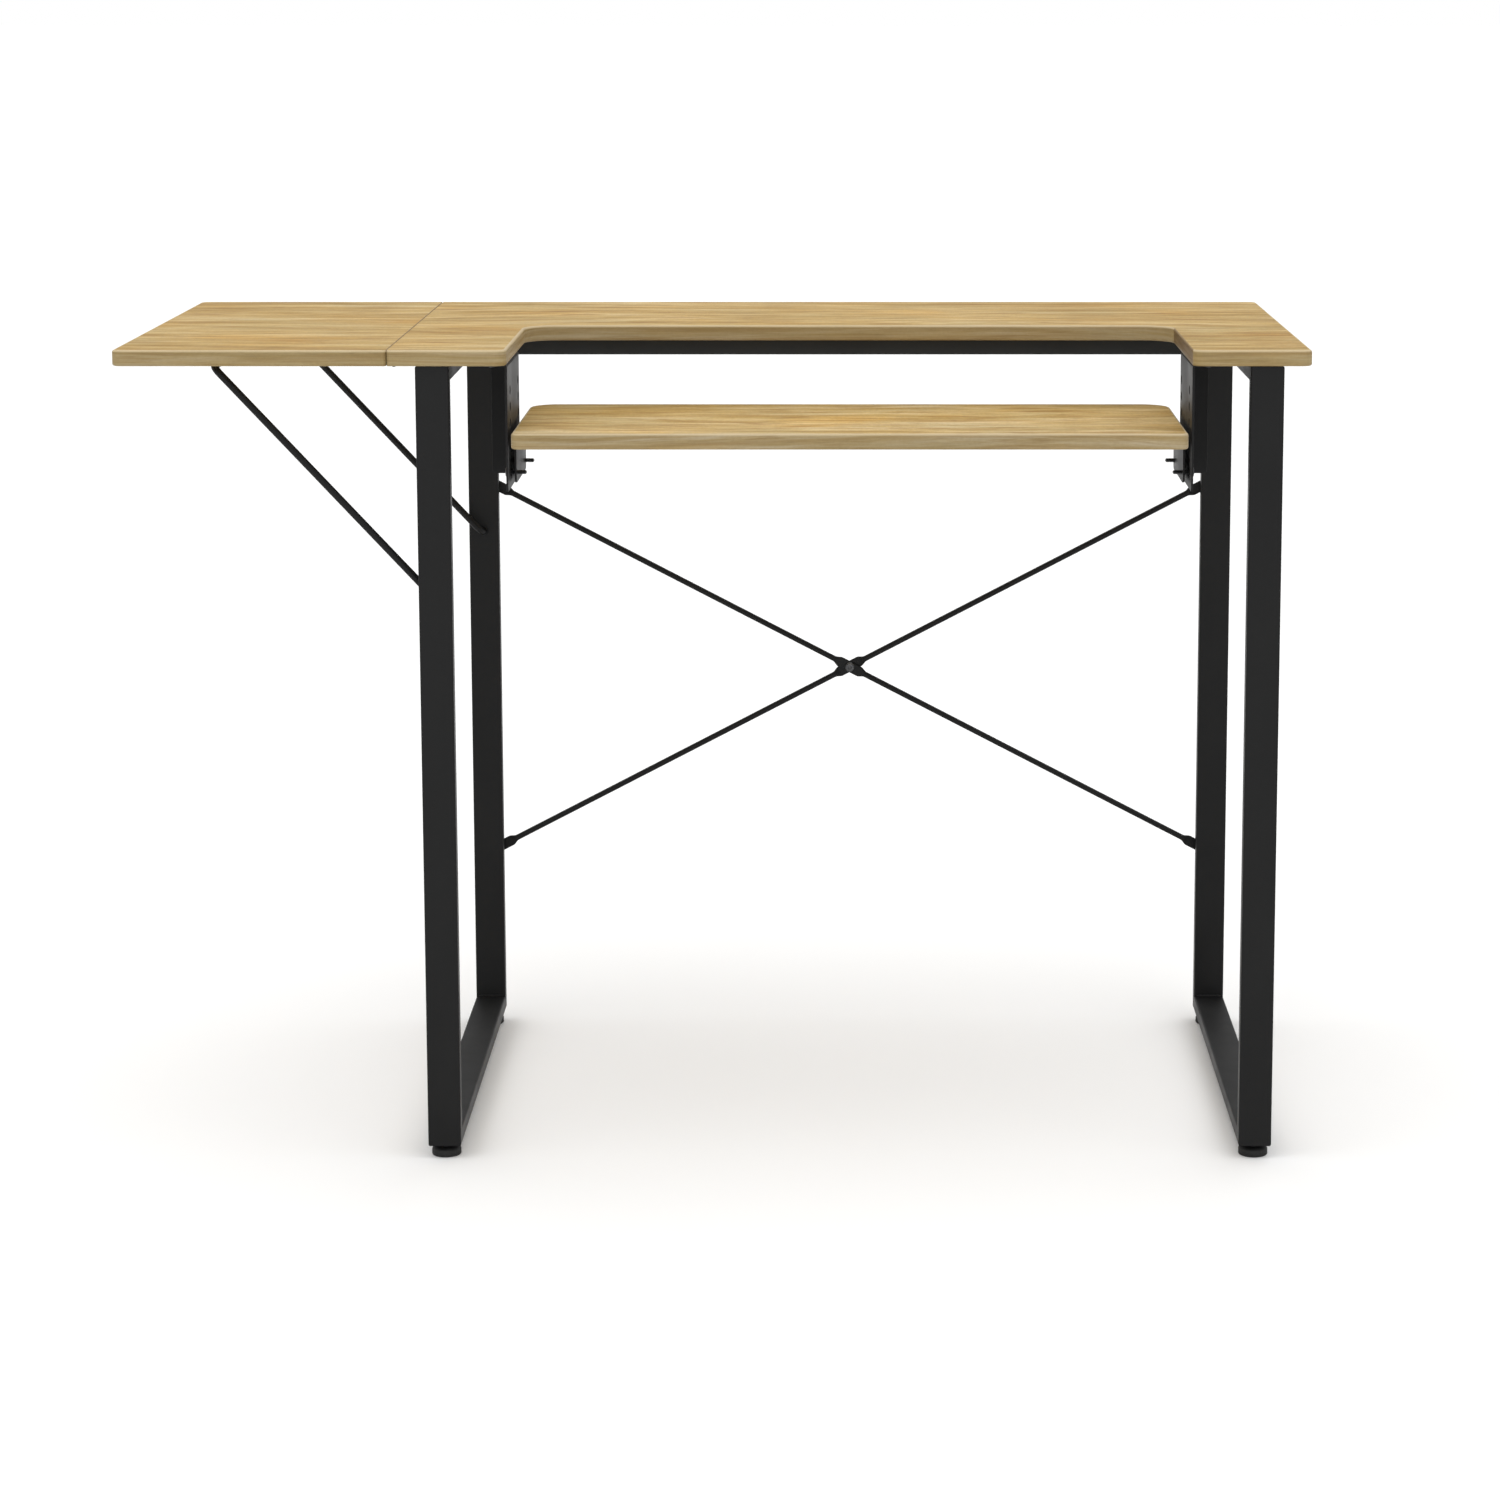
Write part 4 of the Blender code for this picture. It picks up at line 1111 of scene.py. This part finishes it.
def add_fixed_bracket(side, screw):
    """The perforated upright plate, with a flange behind it and a flange screwed up into the main board."""
    node = f"{side}_fixed_bracket"
    low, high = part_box(node)
    inner, tip = distances_across(node)
    tip_x = across_at(side, tip)
    fold = high.z - 2 * BEND_OUTER
    plan = folded_outline(side, (inner, low.y), (inner, high.y), (tip, high.y))
    upright = solid_mesh(node, prism(plan, "Z", low.z, fold))
    rounded_edges(upright, edges_at("x", tip_x, "y"), FLANGE_CORNER)
    profile = folded_outline(side, (inner, fold - FLANGE_LAP), (inner, high.z), (tip, high.z))
    flange = solid_mesh("flange", prism(profile, "Y", low.y, high.y - SHEET - FLANGE_END_GAP))
    rounded_edges(flange, edges_at("x", tip_x, "z"), FLANGE_CORNER)
    plate = softened(combined(upright, [flange], "UNION"))

    pitch = (MAIN_HIGH.z - SHELF_HIGH.z) / (HOLE_ROWS - 1)
    inner_x = across_at(side, inner)
    spots = [(inner_x, y, LOCK_Z + row * pitch) for y in LOCK_YS for row in range(HOLE_ROWS)]
    plate = combined(plate, hole_cutters(spots, (SIDES[side], 0, 0), HOLE_RADIUS), "DIFFERENCE")
    add_object(f"{side}_rack", smooth_shaded(plate, 40), STEEL, "frame", [node])

    distance = inner + FLANGE_SCREW_REACH
    place_flange_screws(f"{side}_rack", screw, node, distance, RACK_SCREW_SHIFTS, "frame")


def add_carrier(side, screw, lock):
    """The angle under the platform's end, its screws into the platform and its two locking screws."""
    outward = (SIDES[side], 0, 0)
    node = f"{side}_carrier"
    low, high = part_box(node)
    tip, outer = distances_across(node)
    profile = folded_outline(side, (outer, low.z), (outer, high.z), (tip, high.z))
    angle = solid_mesh(node, prism(profile, "Y", low.y, high.y))
    rounded_edges(angle, edges_at("x", across_at(side, tip), "z"), FLANGE_CORNER)
    rounded_edges(angle, edges_at("z", low.z, "x"), CARRIER_CORNER)
    angle = softened(angle)
    spots = [(across_at(side, outer - SHEET), y, LOCK_Z) for y in LOCK_YS]
    angle = combined(angle, hole_cutters(spots, outward, LOCK_RADIUS + LOCK_CLEARANCE), "DIFFERENCE")
    add_object(f"{side}_angle", smooth_shaded(angle, 40), STEEL, "platform", [node])

    distance = outer - FLANGE_SCREW_REACH
    place_flange_screws(f"{side}_angle", screw, node, distance, ANGLE_SCREW_SHIFTS, "platform")

    lock_seat = distances_across(f"{side}_front_screw_head")[0]
    for end, y in zip(ENDS, LOCK_YS):
        nodes = (f"{side}_{end}_screw_shank", f"{side}_{end}_screw_head")
        place = standing((across_at(side, lock_seat), y, LOCK_Z), outward)
        name = f"{side}_{end}_locking_screw"
        add_object(name, lock, ZINC, "platform", nodes, place)


def add_brackets(wood_screw):
    """Both fixed brackets and both carriers, with one mesh for all locking screws."""
    head_seat = distances_across("left_front_screw_head")[0]
    shank_tip = distances_across("left_front_screw_shank")[0]
    shank = (LOCK_RADIUS, head_seat - shank_tip, LOCK_PITCH, LOCK_TIP)
    lock = screw_mesh("locking_screw", LOCK_HEAD, shank)
    for side in SIDES:
        add_fixed_bracket(side, wood_screw)
        add_carrier(side, wood_screw, lock)


# ---------------------------------------------------------------- hinges


def hinge_section(direction, pin, top, reach):
    """Side view of a hinge plate: a flat strip whose end curls round the pin."""
    inner = HINGE_PIN_RADIUS + HINGE_PIN_GAP
    outer = inner + HINGE_SHEET
    low = top - HINGE_SHEET
    bevel = HINGE_BEVEL
    span = HINGE_CURL_END - HINGE_CURL_START
    turns = [HINGE_CURL_START + span * step / HINGE_CURL_STEPS for step in range(HINGE_CURL_STEPS + 1)]
    points = [(reach - bevel, top), (HINGE_CURL_EDGE, top)]
    points += [(math.cos(turn) * outer, math.sin(turn) * outer) for turn in turns]
    points += [(math.cos(turn) * inner, math.sin(turn) * inner) for turn in reversed(turns)]
    points += [(math.sqrt(outer**2 - low**2), low), (reach - bevel, low)]
    points += [(reach, low + bevel), (reach, top - bevel)]
    return [(pin.x + direction * a, pin.z + b) for a, b in points]


def hinge_gap(low, high, pin):
    """A block that clears the other plate's knuckle."""
    barrel = HINGE_PIN_RADIUS + HINGE_SHEET + HINGE_BARREL_GAP
    corners = [(pin.x - barrel, low), (pin.x + barrel, low), (pin.x + barrel, high), (pin.x - barrel, high)]
    return solid_mesh("gap", prism(corners, "Z", pin.z - 2 * barrel, pin.z + 2 * barrel))


def hinge_pin_mesh(length):
    """A pin along +Z with domed ends."""
    radius = HINGE_PIN_RADIUS
    dome = [(radius * 0.3, 0.0), (radius * 0.8, 0.0002), (radius, 0.0006)]
    profile = dome + [(reach, length - height) for reach, height in reversed(dome)]
    return smooth_shaded(solid_mesh("hinge_pin", turned(profile, HINGE_PIN_SIDES)), 50)


def add_hinge(end, screw):
    """A butt hinge under the seam: two plates with curled knuckles, their flush screws, and the pin."""
    low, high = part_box(f"{end}_hinge_pin")
    pin = centre_of(f"{end}_hinge_pin")
    plate_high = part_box(f"{end}_hinge_fixed_plate")[1]
    reach = plate_high.x - pin.x
    top = plate_high.z - pin.z
    screw_seat = plate_high.z - HINGE_SHEET + SCREW_GAP
    knuckles = (low.y + HINGE_KNUCKLE, high.y - HINGE_KNUCKLE)
    inset = (knuckles[0] - HINGE_KNUCKLE_GAP, knuckles[1] + HINGE_KNUCKLE_GAP)
    outset = (low.y - HINGE_GAP_OVERLAP, high.y + HINGE_GAP_OVERLAP)
    for part, direction, body, gaps in (
        ("fixed_plate", 1, "frame", [inset]),
        ("leaf_plate", -1, "leaf", [(outset[0], knuckles[0]), (knuckles[1], outset[1])]),
    ):
        node = f"{end}_hinge_{part}"
        plate = solid_mesh(node, prism(hinge_section(direction, pin, top, reach), "Y", low.y, high.y))
        rounded_edges(plate, edges_at("x", pin.x + direction * reach, "z"), HINGE_CORNER)
        plate = combined(plate, [hinge_gap(*gap, pin) for gap in gaps], "DIFFERENCE")
        add_object(f"{end}_hinge_{part}_fine", smooth_shaded(plate), STEEL, body, [node])
        spots = []
        for index, (along, shift) in enumerate(HINGE_SCREWS):
            spots.append((f"{part}_screw_{index}", (pin.x + direction * along, pin.y + shift, screw_seat)))
        place_screws(f"{end}_hinge", screw, spots, (0, 0, -1), body)

    mesh = hinge_pin_mesh(high.y - low.y)
    place = standing((pin.x, low.y, pin.z), (0, 1, 0))
    add_object(f"{end}_hinge_axle", mesh, ZINC, "frame", [f"{end}_hinge_pin"], place)


# ---------------------------------------------------------------- feet, welds and frame bolts


def foot_pad_mesh(radius, height):
    """A moulded pad along +Z: a hollow rim below, a fine groove, grip ribs round it and a stepped crown."""
    lip = radius - 0.0004
    band = radius - 0.00005
    profile = [(0.0105, 0.0006), (0.0112, 0.0), (radius - 0.0012, 0.0)]
    profile += [(lip, 0.0003), (radius, 0.0011), (radius, 0.0022), (lip, 0.0025)]
    profile += [(lip, 0.0028), (band, 0.0031), (band, 0.0058)]
    profile += [(radius - 0.0005, 0.0066), (radius - 0.0013, 0.0074), (radius - 0.0028, 0.0080)]
    profile += [(radius - 0.0052, height), (0.0048, height), (0.0045, height - 0.0003), (0.0044, 0.0034)]

    def ribbed(reach, level, angle):
        if not FOOT_RIB_LOW < level < FOOT_RIB_HIGH:
            return reach
        return reach - FOOT_RIB_DEPTH * (0.5 + 0.5 * math.cos(FOOT_RIBS * angle))

    return smooth_shaded(solid_mesh("foot_pad", turned(profile, FOOT_PAD_SIDES, ribbed)), 32)


def foot_stem_mesh(pad_top, stem_top, collar):
    """A threaded stem along +Z with a hexagon collar just above the pad."""
    radius = FOOT_STEM_RADIUS
    shank_low = FOOT_STEM_LOW + 0.0006
    shank_length = stem_top - FOOT_STEM_LOW - 0.0016
    profile = [(radius * 0.8, FOOT_STEM_LOW)]
    for step in range(FOOT_STEM_STEPS + 1):
        profile.append((radius, shank_low + shank_length * step / FOOT_STEM_STEPS))
    profile.append((radius * 0.75, stem_top))

    def threaded(reach, level, angle):
        if not pad_top < level < stem_top - 0.0004:
            return reach
        phase = (level / FOOT_PITCH + angle / (2 * math.pi)) % 1.0
        return reach - FOOT_THREAD_DEPTH * (1 - abs(2 * phase - 1))

    rod = solid_mesh("foot_stem", turned(profile, BORE_SIDES, threaded))
    collar_low = pad_top + 0.0003
    nut = chamfered_hexagon("collar", collar, collar_low, collar_low + FOOT_COLLAR, collar * 0.89, 0.0005)
    return smooth_shaded(combined(rod, [nut], "UNION"), 34)


def add_feet():
    """Four levelling feet, each a ribbed pad on a threaded stem."""
    pad_low, pad_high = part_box("front_left_foot_pad")
    stem_low, stem_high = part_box("front_left_foot_stem")
    pad = foot_pad_mesh((pad_high.x - pad_low.x) / 2, pad_high.z)
    stem = foot_stem_mesh(pad_high.z, stem_high.z, (stem_high.x - stem_low.x) / 2)
    for side in SIDES:
        for end in ENDS:
            foot = f"{end}_{side}_foot"
            centre = centre_of(f"{foot}_pad")
            place = Matrix.Translation((centre.x, centre.y, 0))
            add_object(f"{foot}_glide", pad, RUBBER, foot, [f"{foot}_pad"], place)
            add_object(f"{foot}_thread", stem, ZINC, foot, [f"{foot}_stem"], place)


def weld_bead(corner, up, along, length):
    """A rippled fillet weld in an inner corner, centred on it along X. up and along point into the open."""
    rings = []
    for step in range(WELD_STEPS + 1):
        share = step / WELD_STEPS
        ends = min(1.0, 10 * share, 10 * (1 - share))
        size = WELD_SIZE * (0.35 + 0.65 * ends) * (1 + WELD_RIPPLE * math.sin(share * WELD_WAVES))
        spots = [(-WELD_BURIED, -WELD_BURIED), (size, -WELD_BURIED)]
        for turn in quarter_turns(WELD_ARC_STEPS):
            spots.append((size * (1 - WELD_SAG * math.sin(turn)), size * (1 - WELD_SAG * math.cos(turn))))
        spots.append((-WELD_BURIED, size))
        x = corner.x + length * (share - 0.5)
        rings.append([(x, corner.y + along * a, corner.z + up * b) for a, b in spots])
    return lofted(rings)


def add_welds():
    """Small fillet welds inside the four mitred corners of each side frame."""
    for side in SIDES:
        front_low, front_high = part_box(f"{side}_front_leg")
        rear_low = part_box(f"{side}_rear_leg")[0]
        rail_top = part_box(f"{side}_bottom_rail")[1].z
        rail_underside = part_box(f"{side}_top_rail")[0].z
        x = centre_of(f"{side}_front_leg").x
        length = front_high.x - front_low.x - WELD_SIDE_GAP
        shapes = []
        for y, along in ((front_high.y, 1), (rear_low.y, -1)):
            shapes.append(weld_bead(Vector((x, y, rail_top)), 1, along, length))
            shapes.append(weld_bead(Vector((x, y, rail_underside)), -1, along, length))
        mesh = smooth_shaded(solid_mesh(f"{side}_frame_welds", merged(shapes)), 50)
        add_object(f"{side}_frame_welds", mesh, STEEL, "frame")


def add_frame_fasteners(wood_screw):
    """Screws up through the top rails into the main board, and the crossbar's end bolts."""
    bar_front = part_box("crossbar")[0].y
    bar_y = centre_of("crossbar").y
    bolt = screw_mesh("frame_bolt", *FRAME_BOLT, "hex")
    for side, sign in SIDES.items():
        low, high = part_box(f"{side}_top_rail")
        rail = centre_of(f"{side}_top_rail")
        ys = (low.y + RAIL_SCREW_INSET, bar_front - BAR_SCREW_GAP, high.y - RAIL_SCREW_INSET)
        spots = [(f"rail_screw_{index}", (rail.x, y, low.z)) for index, y in enumerate(ys)]
        place_screws(side, wood_screw, spots, (0, 0, -1), "frame")
        outer = high.x if sign > 0 else low.x
        spots = []
        for index, shift in enumerate(BAR_BOLT_SHIFTS):
            spots.append((f"bar_bolt_{index}", (outer, bar_y + shift, rail.z)))
        place_screws(side, bolt, spots, (sign, 0, 0), "frame")


# ---------------------------------------------------------------- studio


def add_area(name, place, target, size, power):
    """A rectangular lamp at place that faces target."""
    data = bpy.data.lights.new(name, "AREA")
    data.shape = "RECTANGLE"
    data.size, data.size_y = size
    data.energy = power
    lamp = bpy.data.objects.new(name, data)
    lamp.location = place
    lamp.rotation_euler = (Vector(target) - Vector(place)).to_track_quat("-Z", "Y").to_euler()
    bpy.context.scene.collection.objects.link(lamp)


def add_floor():
    half = FLOOR_HALF
    mesh = bpy.data.meshes.new("studio_floor")
    corners = [(-half, -half, 0), (half, -half, 0), (half, half, 0), (-half, half, 0)]
    mesh.from_pydata(corners, [], [(0, 1, 2, 3)])
    mesh.materials.append(FLOOR)
    floor = bpy.data.objects.new("studio_floor", mesh)
    bpy.context.scene.collection.objects.link(floor)


def add_world():
    """A white sky that lights more from above than from below, and that the camera sees as plain white."""
    world = bpy.data.worlds.new("studio")
    bpy.context.scene.world = world
    world.use_nodes = True
    tree = world.node_tree
    tree.nodes.clear()

    def node(kind, **inputs):
        made = tree.nodes.new("ShaderNode" + kind)
        for socket, value in inputs.items():
            made.inputs[socket].default_value = value
        return made

    direction = node("TexCoord")
    axes = node("SeparateXYZ")
    height = node("MapRange")
    height.inputs["To Min"].default_value = SKY_LOW
    height.inputs["To Max"].default_value = SKY_HIGH
    height.interpolation_type = "SMOOTHSTEP"
    soft = node("Background", Color=(1, 1, 1, 1))
    seen = node("Background", Color=(1, 1, 1, 1), Strength=1.0)
    path = node("LightPath")
    mix = node("MixShader")
    out = node("OutputWorld")
    for start, end in (
        (direction.outputs["Generated"], axes.inputs[0]),
        (axes.outputs["Z"], height.inputs[0]),
        (height.outputs[0], soft.inputs["Strength"]),
        (path.outputs["Is Camera Ray"], mix.inputs[0]),
        (soft.outputs[0], mix.inputs[1]),
        (seen.outputs[0], mix.inputs[2]),
        (mix.outputs[0], out.inputs[0]),
    ):
        tree.links.new(start, end)


def add_camera():
    data = bpy.data.cameras.new("camera")
    data.lens = CAMERA_LENS
    data.sensor_width = CAMERA_SENSOR
    data.shift_x, data.shift_y = CAMERA_SHIFT
    data.clip_end = CAMERA_REACH
    camera = bpy.data.objects.new("camera", data)
    camera.location = CAMERA_PLACE
    camera.rotation_euler = (math.pi / 2 - CAMERA_FALL, 0, 0)
    bpy.context.scene.collection.objects.link(camera)
    bpy.context.scene.camera = camera


def add_studio():
    """The floor, the sky, two soft lamps, plain colour settings and the camera."""
    add_floor()
    add_world()
    add_area("overhead", *OVERHEAD_LIGHT)
    add_area("front", *FRONT_LIGHT)
    view = bpy.context.scene.view_settings
    view.view_transform = "Standard"
    view.look = "None"
    view.exposure = 0.0
    view.gamma = 1.0
    add_camera()


def dress_cad_nodes():
    """The finish of each CAD node that is still shown."""
    slots = {part["node"]: part["material_slot"] for part in frame["record"]["subparts"]}
    for name, node in frame["nodes"].items():
        if node.hide_render:
            continue
        # the crossbar takes the lighter coat, painted light against the shade under the boards
        material = BAR_PAINTED_LIGHT_STEEL if name == "crossbar" else SLOT_MATERIALS[slots[name]]
        if node.material_slots:
            for holder in node.material_slots:
                holder.material = material
        else:
            node.data.materials.append(material)


wood_screw = screw_mesh("wood_screw", *WOOD_SCREW)
hinge_screw = screw_mesh("hinge_screw", *HINGE_SCREW)
add_boards()
add_leaf_brace()
add_cross_brace()
add_brackets(wood_screw)
for end in ENDS:
    add_hinge(end, hinge_screw)
add_feet()
add_welds()
add_frame_fasteners(wood_screw)
dress_cad_nodes()
add_studio()
